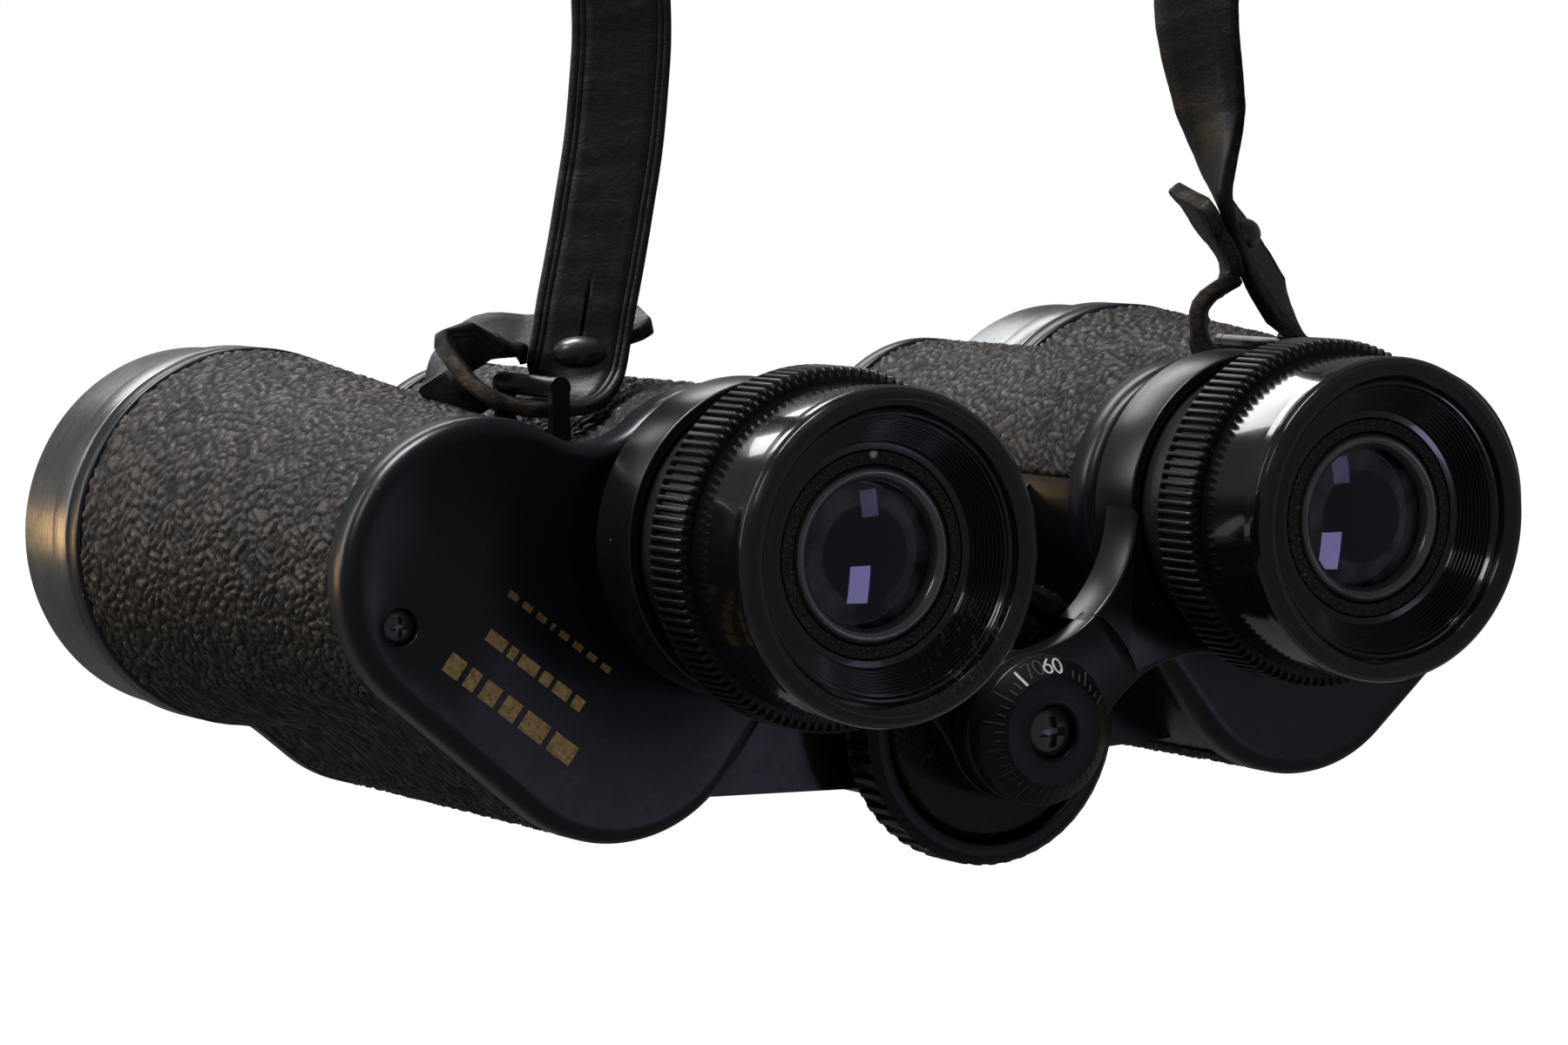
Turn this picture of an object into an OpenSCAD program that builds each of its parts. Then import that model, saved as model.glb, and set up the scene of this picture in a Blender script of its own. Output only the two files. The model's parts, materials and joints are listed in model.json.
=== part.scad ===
// Porro-prism binoculars hanging from their neck strap: 8x magnification class,
// 30 mm objectives, centre focusing. Millimetres. +X right, +Y from the eyepieces
// to the objectives, +Z up. The origin is the top of the strap, where it is held.
// Every module is drawn about the central hinge axis (x = 0, z = 0, along Y),
// with y = 0 at the rim of the eyecups, and hang() moves it under the strap.

/* [Layout] */
// Distance between the two eyepiece axes
eye_spacing = 64; // [62:1:66]
// Height of the eyepiece axes over the hinge axis
eye_height = 22.8; // [22:0.2:24]
// Sideways offset from an eyepiece axis to its objective axis
objective_offset = 29; // [28:0.5:30]
// Height of the objective axes over the hinge axis
objective_height = 20.2; // [19.5:0.1:21]
// Height of the strap's top over the hinge axis
strap_height = 108; // [108:1:110]

/* [Prism housings] */
// Radius of the housing round the objective axis, at the eyepiece end
rear_lobe_r = 17; // [16.8:0.1:17.2]
// Radius of the objective end, and of its ring
objective_r = 22.1; // [21.6:0.1:22.4]
// Radius of the housing round the eyepiece axis
eye_lobe_r = 16.4; // [16.2:0.1:16.6]
// Radius of the housing round the beam between the two prisms
lower_lobe_r = 17.3; // [17:0.1:17.5]
// Radius of the hollow between the two upper lobes
waist_r = 9; // [8.5:0.5:10]
// Thickness of the cast wall
wall = 2.2; // [2:0.1:2.4]
// Thickness of the leatherette
leather = 0.8; // [0.6:0.1:0.9]

/* [Eyepieces] */
// Outer radius of the eyecup's lip
eyecup_r = 18; // [17.6:0.1:18.2]
// Outer radius of the knurled ring
knurl_r = 19.5; // [19.2:0.1:19.7]
// Outer radius of the sliding eyepiece tube
tube_r = 13.2; // [13.2:0.05:13.25]
// Outer radius of the bridge's eyepiece collar
collar_r = 17.6; // [17.4:0.1:17.8]

/* [Hinge and focusing] */
// Radius of the hinge barrels
barrel_r = 11; // [10.6:0.1:11.2]
// Radius of the hollow hinge axle
axle_r = 6; // [5.8:0.1:6.2]
// Radius of the focusing spindle
spindle_r = 4; // [3.8:0.1:4]
// Outer radius of the focus wheel
wheel_r = 16.4; // [15.8:0.1:16.6]
// Radius of the scale cap
cap_r = 8.4; // [8:0.1:8.6]
// Radial clearance of parts that turn or slide in each other
running = 0.05; // [0.03:0.01:0.08]

/* [Strap] */
// Width of the leather strap
strap_width = 11; // [10.5:0.1:11.2]
// Thickness of the leather strap
strap_thickness = 1.8; // [1.6:0.1:1.9]

/* [Hidden] */
$fn = 64;

// Axes in the plane across the binoculars, as [x, z], for the half on the -X side
EYE = [-eye_spacing / 2, eye_height];
OBJ = [-eye_spacing / 2 - objective_offset, objective_height];
// The beam between the prisms: each prism moves it sideways by the same amount,
// at right angles to the other one
MID = (EYE + OBJ) / 2 + [EYE.y - OBJ.y, OBJ.x - EYE.x] / 2;
HINGE = [0, 0];
prism_step = norm(EYE - OBJ) / sqrt(2);

// Stations along Y
cap_face = 20.2;
hub_front = 24.7;
hub_split = 28.2;
hub_rear = 31.4;
wheel_front = 32.4;
wheel_rear = 38.6;
cover_front = 36.3;
cover_rear = 41;
housing_rear = 97;
front_plate_rear = 100.2;
flange_rear = 104.7;
hood_rear = 115;
axle_front = 34.4;
axle_rear = 97.6;
lug_gap = 0.3;
lug_length = 9;
shelf_front = 67.6;
shelf_rear = 70.4;

// Eyepiece stations
knurl_front = 11.9;
knurl_rear = 18.3;
collar_front = 26;
collar_rear = 33.5;

// Small sizes
fit_gap = 0.05;
loose_gap = 0.1;
glue_gap = 0.02;
seam = 0.1;
screw_head_r = 1.85;
screw_shank_r = 1.1;
COVER_SCREW = OBJ + [-10.6, -4.8];
lug_bar_r = 1.2;
LUG = [-48.4, 39.4];
lug_foot = [7, 15.2, 2.6];
lug_y = 50;
sleeve_r = tube_r + 1.5;
sleeve_rear = cover_rear + 7;

// ---------- drawing helpers ----------

// Moves the hinge frame under the strap's top
module hang() translate([0, -lug_y, -strap_height]) children();

// Copies a left-hand piece to the right-hand half
module other_side() mirror([1, 0, 0]) children();

// A flat outline given in [x, z], thick from y0 to y1
module slab(y0, y1) {
    translate([0, y1, 0]) rotate([90, 0, 0]) linear_extrude(height = y1 - y0) children();
}

module disc(at, r, y0, y1) {
    translate([at.x, y0, at.y]) rotate([-90, 0, 0]) cylinder(r = r, h = y1 - y0);
}

module cone(at, r0, r1, y0, y1) {
    translate([at.x, y0, at.y]) rotate([-90, 0, 0]) cylinder(r1 = r0, r2 = r1, h = y1 - y0);
}

module tube(at, r_out, r_in, y0, y1) {
    difference() {
        disc(at, r_out, y0, y1);
        disc(at, r_in, y0 - 1, y1 + 1);
    }
}

// A turned piece about the axis at [x, z]; the profile's points are [radius, y]
module turned(at, profile) {
    translate([at.x, 0, at.y]) rotate([-90, 0, 0]) rotate_extrude() polygon(profile);
}

// ---------- outline functions ----------

function unit(v) = v / norm(v);
function left_of(v) = [-v.y, v.x];

// The strip between two circles whose long sides run along both of them, a seam's
// depth inside
function belt(a, ra, b, rb) =
    let (u = unit(b - a), s = (ra - rb) / norm(b - a), c = sqrt(1 - s * s),
         up = u * s + left_of(u) * c, down = u * s - left_of(u) * c,
         qa = ra - seam, qb = rb - seam)
    [a + up * qa, b + up * qb, b + down * qb, a + down * qa];

// The centre of the circle of radius r that reaches a seam's depth into circles a and b
function fillet_centre(a, ra, b, rb, r) =
    let (d = norm(b - a), u = (b - a) / d, da = ra + r - seam, db = rb + r - seam,
         along = (da * da - db * db + d * d) / (2 * d))
    a + u * along + left_of(u) * sqrt(da * da - along * along);

// Fills the corner between two circles with a hollow round of radius r
module fillet(a, ra, b, rb, r) {
    f = fillet_centre(a, ra, b, rb, r);
    difference() {
        polygon([a, f, b]);
        translate(f) circle(r);
    }
}

// Outline of the prism housing, drawn in by t from its leatherette
module housing_outline(t) {
    translate(OBJ) circle(rear_lobe_r - t);
    translate(EYE) circle(eye_lobe_r - t);
    translate(MID) circle(lower_lobe_r - t);
    polygon(belt(OBJ, rear_lobe_r - t, MID, lower_lobe_r - t));
    polygon(belt(MID, lower_lobe_r - t, EYE, eye_lobe_r - t));
    fillet(OBJ, rear_lobe_r - t, EYE, eye_lobe_r - t, waist_r + t);
}

// Radius of the flare, which starts inside the lobe and ends at the objective's rim
function flare_r(y) = let (start = rear_lobe_r - 0.4)
    start + (objective_r - start) * (y - cover_rear) / (housing_rear - cover_rear);

// The housing's outer shape, drawn in by t: the outline and the flare to the objective
module housing_form(t, y0, y1) {
    slab(y0, y1) housing_outline(t);
    cone(OBJ, flare_r(y0) - t, flare_r(y1) - t, y0, y1);
}

// ---------- prism housing ----------

// Web from the housing to its hinge barrel
module hinge_web(y0, y1) {
    slab(y0, y1) difference() {
        union() {
            polygon(belt(HINGE, barrel_r - 2, EYE, eye_lobe_r - 5));
            fillet(HINGE, barrel_r, MID, lower_lobe_r - 1, 15);
            polygon(belt(HINGE, barrel_r - 3, MID, lower_lobe_r - 4));
        }
        housing_outline(leather + wall / 2);
    }
}

// Hinge barrels with their webs, bored for the axle
module hinge_barrel(y0, y1, bore_r) {
    difference() {
        union() {
            hinge_web(y0, y1);
            disc(HINGE, barrel_r, y0, y1);
        }
        disc(HINGE, bore_r, y0 - 1, y1 + 1);
    }
}

module lug_pocket(gap) {
    translate([LUG.x - lug_foot.x / 2 - gap, lug_y - lug_foot.y / 2 - gap, 31 - gap])
        cube(lug_foot + [2 * gap, 2 * gap, 2]);
}

module housing_shell() {
    difference() {
        union() {
            difference() {
                housing_form(leather, cover_rear, housing_rear);
                housing_form(leather + wall, cover_rear - 1, housing_rear + 1);
            }
            disc(COVER_SCREW, 3.4, cover_rear, cover_rear + 9);
        }
        disc(COVER_SCREW, screw_shank_r + fit_gap, cover_rear - 1, cover_rear + 7);
        lug_pocket(fit_gap);
    }
}

// Recess for the guide sleeve of the ocular cover
module sleeve_seat() disc(EYE, sleeve_r + fit_gap, cover_rear - 1, sleeve_rear + loose_gap);

module left_prism_housing() {
    color([0.07, 0.07, 0.08]) difference() {
        union() {
            housing_shell();
            hinge_barrel(cover_rear, cover_rear + lug_length, axle_r + fit_gap / 2);
            hinge_barrel(housing_rear - lug_length, housing_rear, axle_r + fit_gap / 2);
        }
        sleeve_seat();
    }
}

module right_prism_housing() {
    color([0.07, 0.07, 0.08]) other_side() difference() {
        union() {
            housing_shell();
            hinge_barrel(cover_rear + lug_length + lug_gap,
                housing_rear - lug_length - lug_gap, axle_r + running);
        }
        sleeve_seat();
    }
}

// The leatherette leaves the side next to the hinge free
module leatherette() {
    color([0.12, 0.11, 0.11]) difference() {
        housing_form(0, cover_rear + loose_gap, housing_rear - loose_gap);
        housing_form(leather - glue_gap, cover_rear - 1, housing_rear + 1);
        slab(cover_rear - 1, housing_rear + 1)
            polygon([HINGE + [0, 30], EYE + [16.8, 3.4], EYE + [4, -2], MID + [6, 0],
                MID + [8, -22], HINGE + [0, -20]]);
        lug_pocket(loose_gap);
    }
}

// ---------- covers ----------

module ocular_cover() {
    rim_round = 1.2;
    color([0.05, 0.05, 0.06]) difference() {
        union() {
            slab(cover_front + rim_round, cover_rear) housing_outline(0);
            slab(cover_front, cover_front + rim_round) housing_outline(rim_round);
            disc(EYE, sleeve_r, cover_rear - 1, sleeve_rear);
        }
        difference() {
            slab(cover_front + 2.4, cover_rear + 1) housing_outline(leather + wall);
            disc(EYE, sleeve_r, cover_front, cover_rear + 2);
            disc(COVER_SCREW, 3.6, cover_front, cover_rear + 2);
        }
        disc(EYE, tube_r + running, cover_front - 1, cover_rear + 9);
        disc(COVER_SCREW, screw_head_r + 0.15, cover_front - 1, cover_front + 1.8);
        disc(COVER_SCREW, screw_shank_r + fit_gap, cover_front, cover_rear + 1);
    }
}

module cover_screw() {
    head_top = cover_front + 0.5;
    slot = 0.5;
    color([0.2, 0.2, 0.2]) difference() {
        turned(COVER_SCREW, [[0, head_top], [0.9, head_top + 0.1],
            [1.5, head_top + 0.4], [screw_head_r, head_top + 0.9],
            [screw_head_r, cover_front + 1.8], [screw_shank_r, cover_front + 1.8],
            [screw_shank_r, cover_rear + 6], [0, cover_rear + 6]]);
        for (turn = [0, 90])
            translate([COVER_SCREW.x, head_top, COVER_SCREW.y]) rotate([0, turn, 0])
                cube([2.2, 1.2, slot], center = true);
    }
}

module front_cover() {
    color([0.07, 0.08, 0.08]) difference() {
        union() {
            slab(housing_rear, front_plate_rear) housing_outline(0);
            disc(OBJ, objective_r, housing_rear, front_plate_rear);
        }
        disc(OBJ, 16, housing_rear - 1, front_plate_rear + 1);
    }
}

// ---------- objective ----------

module objective_ring() {
    color([0.3, 0.31, 0.32]) turned(OBJ, [
        [17.6, front_plate_rear], [objective_r, front_plate_rear],
        [objective_r, flange_rear], [objective_r - 0.6, flange_rear + 0.4],
        [objective_r - 0.6, hood_rear - 0.6], [objective_r - 1.2, hood_rear],
        [objective_r - 2, hood_rear], [objective_r - 2.8, hood_rear - 0.8],
        [19.3, 110], [19, 110], [19, front_plate_rear + 2.4], [17.6, front_plate_rear + 2.4]]);
}

module objective_cell() {
    color([0.15, 0.15, 0.15]) turned(OBJ, [
        [15.2, 102.7], [18.95, 102.7], [18.95, 109.4], [16.5, 109.4],
        [16.5, 104], [15.2, 104]]);
}

// A lens between two spherical faces; bulge0 and bulge1 are their heights
function lens_profile(r, y0, y1, bulge0, bulge1) = concat(
    [for (i = [0:8]) let (k = i / 8) [k * r, y0 - bulge0 * (1 - k * k)]],
    [for (i = [8:-1:0]) let (k = i / 8) [k * r, y1 + bulge1 * (1 - k * k)]]);

module objective_lens() {
    color([0.5, 0.55, 0.7, 0.5]) turned(OBJ, lens_profile(16.4, 104.2, 107.6, 0.6, 1.2));
}

module objective_lock_ring() {
    color([0.1, 0.1, 0.1]) turned(OBJ, [[15.1, 107.9], [16.4, 107.9], [16.4, 109.3],
        [15.6, 109.3], [15.1, 108.9]]);
}

// ---------- prisms ----------

prism_half_length = prism_step - 1.2;
prism_half_width = prism_step / 2 - 0.6;

module prism_shelf() {
    apertures = [OBJ, MID, EYE];
    color([0.45, 0.45, 0.46]) difference() {
        union() {
            slab(shelf_front, shelf_rear) housing_outline(leather + wall + loose_gap);
            for (at = apertures) disc(at, 9, shelf_front, shelf_rear);
        }
        for (at = apertures) disc(at, 8, shelf_front - 1, shelf_rear + 1);
    }
}

// A right-angle prism, its long face at y0 towards the shelf, spanning from a to b
// and pointing along +Y (side = 1) or -Y (side = -1)
module roof(a, b, y0, side, half_length, half_width) {
    mid = (a + b) / 2;
    turn = atan2(b.y - a.y, b.x - a.x);
    translate([mid.x, y0, mid.y]) rotate([0, -turn, 0])
        translate([0, 0, half_width]) rotate([180, 0, 0])
            linear_extrude(height = 2 * half_width)
                polygon([[-half_length, 0], [half_length, 0],
                    [2.5, -side * (half_length - 2.5)], [-2.5, -side * (half_length - 2.5)]]);
}

module rear_prism() {
    color([0.7, 0.8, 0.9, 0.6])
        roof(OBJ, MID, shelf_front - fit_gap, -1, prism_half_length, prism_half_width);
}

module front_prism() {
    color([0.7, 0.8, 0.9, 0.6])
        roof(MID, EYE, shelf_rear + fit_gap, 1, prism_half_length, prism_half_width);
}

// Spring straps that hold the prisms on the shelf, one over each
module prism_clips() {
    strip = 0.5;
    clip_half_width = 2.5;
    color([0.6, 0.6, 0.6]) {
        difference() {
            roof(OBJ, MID, shelf_front - fit_gap, -1, prism_half_length + 1.2, clip_half_width);
            roof(OBJ, MID, shelf_front + 1, -1, prism_half_length + 1.2 - strip + 1,
                clip_half_width + 1);
        }
        difference() {
            roof(MID, EYE, shelf_rear + fit_gap, 1, prism_half_length + 1.2, clip_half_width);
            roof(MID, EYE, shelf_rear - 1, 1, prism_half_length + 1.2 - strip + 1,
                clip_half_width + 1);
        }
    }
}

// ---------- strap lug ----------

module strap_lug() {
    post = 1.1;
    inner = strap_width + 0.8;
    post_wide = 2.2;
    color([0.1, 0.1, 0.1]) {
        translate([LUG.x - lug_foot.x / 2, lug_y - lug_foot.y / 2, 31]) cube(lug_foot);
        for (side = [-1, 1])
            translate([LUG.x - post_wide / 2, lug_y + side * (inner + post) / 2 - post / 2, 32])
                cube([post_wide, post, LUG.y - 32]);
        disc(LUG, lug_bar_r, lug_y - inner / 2 - post + 0.1, lug_y + inner / 2 + post - 0.1);
        for (side = [-1, 1])
            disc(LUG, lug_bar_r + 0.05, lug_y + side * (inner + post) / 2 - post / 2,
                lug_y + side * (inner + post) / 2 + post / 2);
    }
}

// ---------- bridge ----------

// Mirrors a flat shape in the line from a to b
module mirror_line(a, b) {
    turn = atan2(b.y - a.y, b.x - a.x);
    translate(a) rotate(turn) mirror([0, 1]) rotate(-turn) translate(-a) children();
}

// One arm of the bridge: the collar for the eyepiece, the web and the hub
module bridge_arm(hub0, hub1, hub_bore) {
    hub_clear = 13.5;
    other0 = hub0 < hub_split - 1 ? hub_split : hub_front - 1;
    other1 = hub0 < hub_split - 1 ? collar_rear : hub_split;
    color([0.06, 0.06, 0.07]) difference() {
        union() {
            disc(EYE, collar_r, collar_front, collar_rear);
            disc(HINGE, cap_r, hub0, hub1);
            slab(hub_front + 0.2, hub_rear) {
                polygon(belt(HINGE, cap_r - 0.4, EYE, 10));
                fillet(HINGE, cap_r, EYE, collar_r, 16);
                mirror_line(HINGE, EYE) fillet(HINGE, cap_r, EYE, collar_r, 16);
            }
        }
        disc(HINGE, hub_clear, other0 - loose_gap, other1 + loose_gap);
        disc(HINGE, hub_bore, hub_front - 1, hub_rear + 1);
        disc(EYE, tube_r + fit_gap, hub_front - 1, collar_rear + 1);
        disc(EYE, 16.4, hub_front - 1, collar_front + 3.4);
    }
}

module left_bridge_arm() bridge_arm(hub_split + 0.1, hub_rear, spindle_r + fit_gap / 2);

module right_bridge_arm() {
    other_side() bridge_arm(hub_front, hub_split - 0.1, spindle_r + running);
}

// ---------- eyepiece ----------

module eyepiece_tube() {
    color([0.08, 0.08, 0.08]) turned(EYE, [[11.85, 16.4], [tube_r, 16.4], [tube_r, 48.6],
        [12.4, 48.6], [12.4, 31.5], [11.85, 31.5]]);
}

module knurled_ring() {
    body_r = 16;
    color([0.1, 0.1, 0.11]) turned(EYE, [[11.9, knurl_front], [12.4, knurl_front],
        [12.4, 7.6], [13.1, 7.6], [13.1, knurl_front], [knurl_r - 0.5, knurl_front],
        [knurl_r, knurl_front + 0.4], [knurl_r, knurl_rear - 0.4], [knurl_r - 0.5, knurl_rear],
        [body_r, knurl_rear], [body_r, 27], [tube_r + 0.1, 27], [tube_r + 0.1, 14.6],
        [11.9, 14.6]]);
}

module eyecup() {
    rim_step = 0.1;
    color([0.03, 0.03, 0.03]) turned(EYE, [[15.2, 1.5], [15.9, 0.4], [16.6, 0], [17.3, 0.2],
        [eyecup_r - 0.2, 0.8], [eyecup_r, 1.8], [eyecup_r - rim_step, 3.2],
        [eyecup_r - rim_step, knurl_front - loose_gap],
        [13.2, knurl_front - loose_gap], [13.2, 7.2], [11, 7.2], [11, 5], [11.9, 5]]);
}

module lens_barrel() {
    color([0.05, 0.05, 0.05]) turned(EYE, [[9.6, 5], [10.9, 5], [10.9, 7.4], [11.8, 7.4],
        [11.8, 31], [10.7, 31], [10.7, 21], [10, 21], [10, 11.2], [8.8, 11.2], [8.8, 10.2],
        [9.6, 10.2]]);
}

module eye_lens() {
    color([0.4, 0.4, 0.7, 0.5]) turned(EYE, lens_profile(9.5, 7.1, 10, 0.9, 0));
}

module eye_lens_ring() {
    color([0.08, 0.08, 0.09]) turned(EYE, [[7.8, 5.6], [8.2, 4.9], [8.8, 4.6], [9.3, 4.9],
        [9.5, 5.6], [9.5, 6.85], [8.4, 6.85], [7.8, 6.4]]);
}

module field_stop() {
    color([0.05, 0.05, 0.05]) tube(EYE, 10.6, 7.2, 21.1, 22);
}

module field_lens() {
    color([0.5, 0.5, 0.7, 0.5]) turned(EYE, lens_profile(10.5, 25.4, 28, 0, 1.4));
}

module field_lens_ring() {
    color([0.05, 0.05, 0.05]) tube(EYE, 10.6, 9.6, 28.3, 30.9);
}

// ---------- hinge and focusing ----------

module hinge_axle() {
    color([0.35, 0.35, 0.36]) tube(HINGE, axle_r, spindle_r + running, axle_front, axle_rear);
}

module hinge_end_cap() {
    color([0.08, 0.08, 0.08]) difference() {
        turned(HINGE, [[0, housing_rear + 0.1], [8.6, housing_rear + 0.1],
            [8.6, 99.2], [7.2, 100.4], [0, 100.4]]);
        disc(HINGE, axle_r + fit_gap, housing_rear, axle_rear + loose_gap);
        translate([-7, 99.6, -0.6]) cube([14, 2, 1.2]);
    }
}

module focus_spindle() {
    color([0.5, 0.5, 0.5]) difference() {
        disc(HINGE, spindle_r, 23.2, 92);
        disc(HINGE, 1.5, 23, 31);
    }
}

module focus_wheel() {
    rim_r = wheel_r - 1;
    color([0.09, 0.09, 0.1]) turned(HINGE, [
        [spindle_r + 0.2, wheel_front + 0.5], [12.9, wheel_front + 0.5],
        [13.2, wheel_front + 1.2], [13.6, wheel_front + 1.2], [13.9, wheel_front],
        [rim_r, wheel_front], [wheel_r, wheel_front + 0.9], [wheel_r, wheel_rear - 0.6],
        [wheel_r - 0.6, wheel_rear], [9.5, wheel_rear], [9.5, cover_rear - 0.3],
        [axle_r + running, cover_rear - 0.3], [axle_r + running, axle_front - 0.2],
        [spindle_r + 0.2, axle_front - 0.2]]);
}

module scale_cap() {
    face_r = 6.1;
    color([0.1, 0.1, 0.11]) turned(HINGE, [[1.65, 22.2], [3, 22.2], [3, cap_face + 0.2],
        [3.2, cap_face], [face_r, cap_face], [cap_r, cap_face + 2],
        [cap_r, hub_front - loose_gap], [spindle_r + fit_gap, hub_front - loose_gap],
        [spindle_r + fit_gap, 23.1], [1.65, 23.1]]);
}

module cap_screw() {
    head_r = 2.8;
    color([0.15, 0.15, 0.16]) difference() {
        turned(HINGE, [[0, cap_face + 0.1], [1.2, cap_face + 0.2], [2.1, cap_face + 0.6],
            [head_r, cap_face + 1.3], [head_r, 22.1], [1.45, 22.1], [1.45, 30], [0, 30]]);
        for (turn = [0, 90])
            translate([0, cap_face, 0]) rotate([0, turn, 0]) cube([3, 1.8, 0.7], center = true);
    }
}

// ---------- strap ----------

// Route points of the strap's centreline as [x, y, z], each with the direction
// that the strap's width takes there
LEFT_ROUTE = [
    [[-31.7, 54, 45.8], [0.36, 0.9, 0.14]], [[-35.5, 55.4, 45], [0.4, 0.85, 0.25]],
    [[-39.5, 57.2, 44.3], [0.45, 0.78, 0.3]], [[-43.5, 60, 44], [0.5, 0.76, 0.3]],
    [[-46.6, 60.8, 44], [0.5, 0.74, 0.36]], [[-50.4, 59.2, 42.7], [0.52, 0.8, 0.25]],
    [[-53.2, 56.8, 41.5], [0.45, 0.88, 0.1]], [[-54.5, 54.2, 40.8], [0.35, 0.93, 0.14]],
    [[-53.9, 51.8, 39.1], [0.2, 0.98, 0.14]], [[-52.2, 50.3, 37.8], [0.1, 1, 0.08]],
    [[-49.4, 50, 37], [0, 1, 0]], [[-46, 50, 37.1], [-0.15, 1, 0]],
    [[-43.9, 50, 38.8], [-0.5, 0.86, 0]], [[-42.7, 50, 41.6], [-0.84, 0.55, 0]],
    [[-42, 50, 44.6], [-0.87, 0.5, 0]], [[-41.3, 50, 48], [-0.87, 0.5, 0]],
    [[-40.1, 50, 53], [-0.87, 0.5, 0]], [[-38.8, 50, 59], [-0.87, 0.5, 0]],
    [[-37.4, 50, 66], [-0.87, 0.5, 0]], [[-36.4, 50, 74], [-0.88, 0.5, 0]],
    [[-36.1, 50, 78], [-0.9, 0.5, 0]], [[-36.1, 50, 82], [-0.9, 0.5, 0]]
];
ARCH_ROUTE = [
    [[-36.1, 50, 82], [-0.9, 0.5, 0]], [[-36.1, 50, 87], [-0.9, 0.5, 0]],
    [[-32.6, 50, 95], [-1, 0.6, -0.8]], [[-25, 50, 102], [-0.7, 1, -0.7]],
    [[-15, 50, 106.3], [-0.4, 1, -0.2]], [[0, 50, 108], [0, 1, 0]],
    [[15, 50, 106.8], [0, 1, 0]], [[27, 50, 102.6], [-0.3, 1, 0.2]],
    [[36, 50, 95.6], [-0.45, 0.9, 0.3]], [[40.6, 50, 87], [-0.43, 0.9, 0]],
    [[40.6, 50, 82], [-0.43, 0.9, 0]]
];
RIGHT_ROUTE = [
    [[40.6, 50, 82], [-0.43, 0.9, 0]], [[40.6, 50, 78], [-0.4, 0.9, 0]],
    [[41.3, 50, 73], [-0.3, 0.95, 0]], [[42.3, 50, 67.6], [-0.15, 0.98, -0.05]],
    [[43, 50, 62.5], [0.2, 0.97, -0.07]], [[43.6, 50, 58], [0.5, 0.86, -0.09]],
    [[44.9, 50, 54.8], [0.65, 0.76, -0.08]], [[46.9, 50, 51.4], [0.75, 0.66, -0.07]],
    [[49.2, 50, 47.8], [0.8, 0.6, -0.07]], [[51.4, 50, 44.6], [0.8, 0.6, -0.07]],
    [[53.4, 50, 41.8], [0.6, 0.8, 0]], [[54, 50, 40], [0.35, 0.94, 0]],
    [[52.4, 50, 38], [0.12, 1, 0]], [[49, 50, 37], [0, 1, 0]],
    [[45.4, 50, 37.2], [0.1, 1, 0]], [[42.4, 50, 38.6], [0.35, 0.93, 0]],
    [[40.6, 50, 41], [0.6, 0.8, 0]], [[40.6, 50, 43.8], [0.65, 0.76, 0]],
    [[42.2, 50, 45.6], [0.6, 0.8, 0]], [[44.2, 49.9, 46.9], [0.55, 0.83, 0]],
    [[44.7, 49.8, 48.6], [0.5, 0.86, -0.05]], [[43.7, 49.6, 50.6], [0.5, 0.86, -0.09]],
    [[42.1, 49.4, 52.8], [0.5, 0.84, -0.2]], [[40.2, 49.2, 55.4], [0.55, 0.78, -0.3]],
    [[38.4, 49, 57.6], [0.6, 0.65, -0.5]]
];

function along(route, i) =
    unit(route[min(i + 1, len(route) - 1)][0] - route[max(i - 1, 0)][0]);

// The eight corners of the strap's section at a route point
function strap_section(route, i) =
    let (t = along(route, i), raw = route[i][1], w = unit(raw - t * (raw * t)),
         n = cross(t, w), a = strap_width / 2, b = strap_thickness / 2, e = a - b / 2)
    [for (c = [[a, b / 2], [e, b], [-e, b], [-a, b / 2],
               [-a, -b / 2], [-e, -b], [e, -b], [a, -b / 2]])
        route[i][0] + w * c.x + n * c.y];

module strap(route) {
    rings = len(route);
    sides = 8;
    points = [for (i = [0:rings - 1]) each strap_section(route, i)];
    walls = [for (i = [0:rings - 2]) for (k = [0:sides - 1])
        let (p = i * sides + k, q = i * sides + (k + 1) % sides)
        each [[p, q + sides, q], [p, p + sides, q + sides]]];
    last = (rings - 1) * sides;
    ends = [[for (k = [0:sides - 1]) k], [for (k = [sides - 1:-1:0]) last + k]];
    color([0.06, 0.06, 0.06]) polyhedron(points, concat(walls, ends));
}

module left_strap_end() strap(LEFT_ROUTE);
module right_strap_end() strap(RIGHT_ROUTE);
module strap_arch() strap(ARCH_ROUTE);

// A collar stud whose head lies on the strap's outer face; its axis points
// along the given azimuth and elevation
module strap_stud(at, azimuth, elevation) {
    color([0.05, 0.05, 0.05]) translate(at) rotate([0, -elevation, azimuth])
        rotate([0, 90, 0]) rotate_extrude()
            polygon([[0, 0], [2.6, 0], [3, 0.5], [2.4, 1.2], [1.2, 1.6], [0, 1.7]]);
}

module left_strap_stud() strap_stud([-42.7, 49.3, 42.8], 238, 0);
module right_strap_stud() strap_stud([46.7, 49.5, 52.7], -49, 18);

// ---------- the nodes ----------

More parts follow.
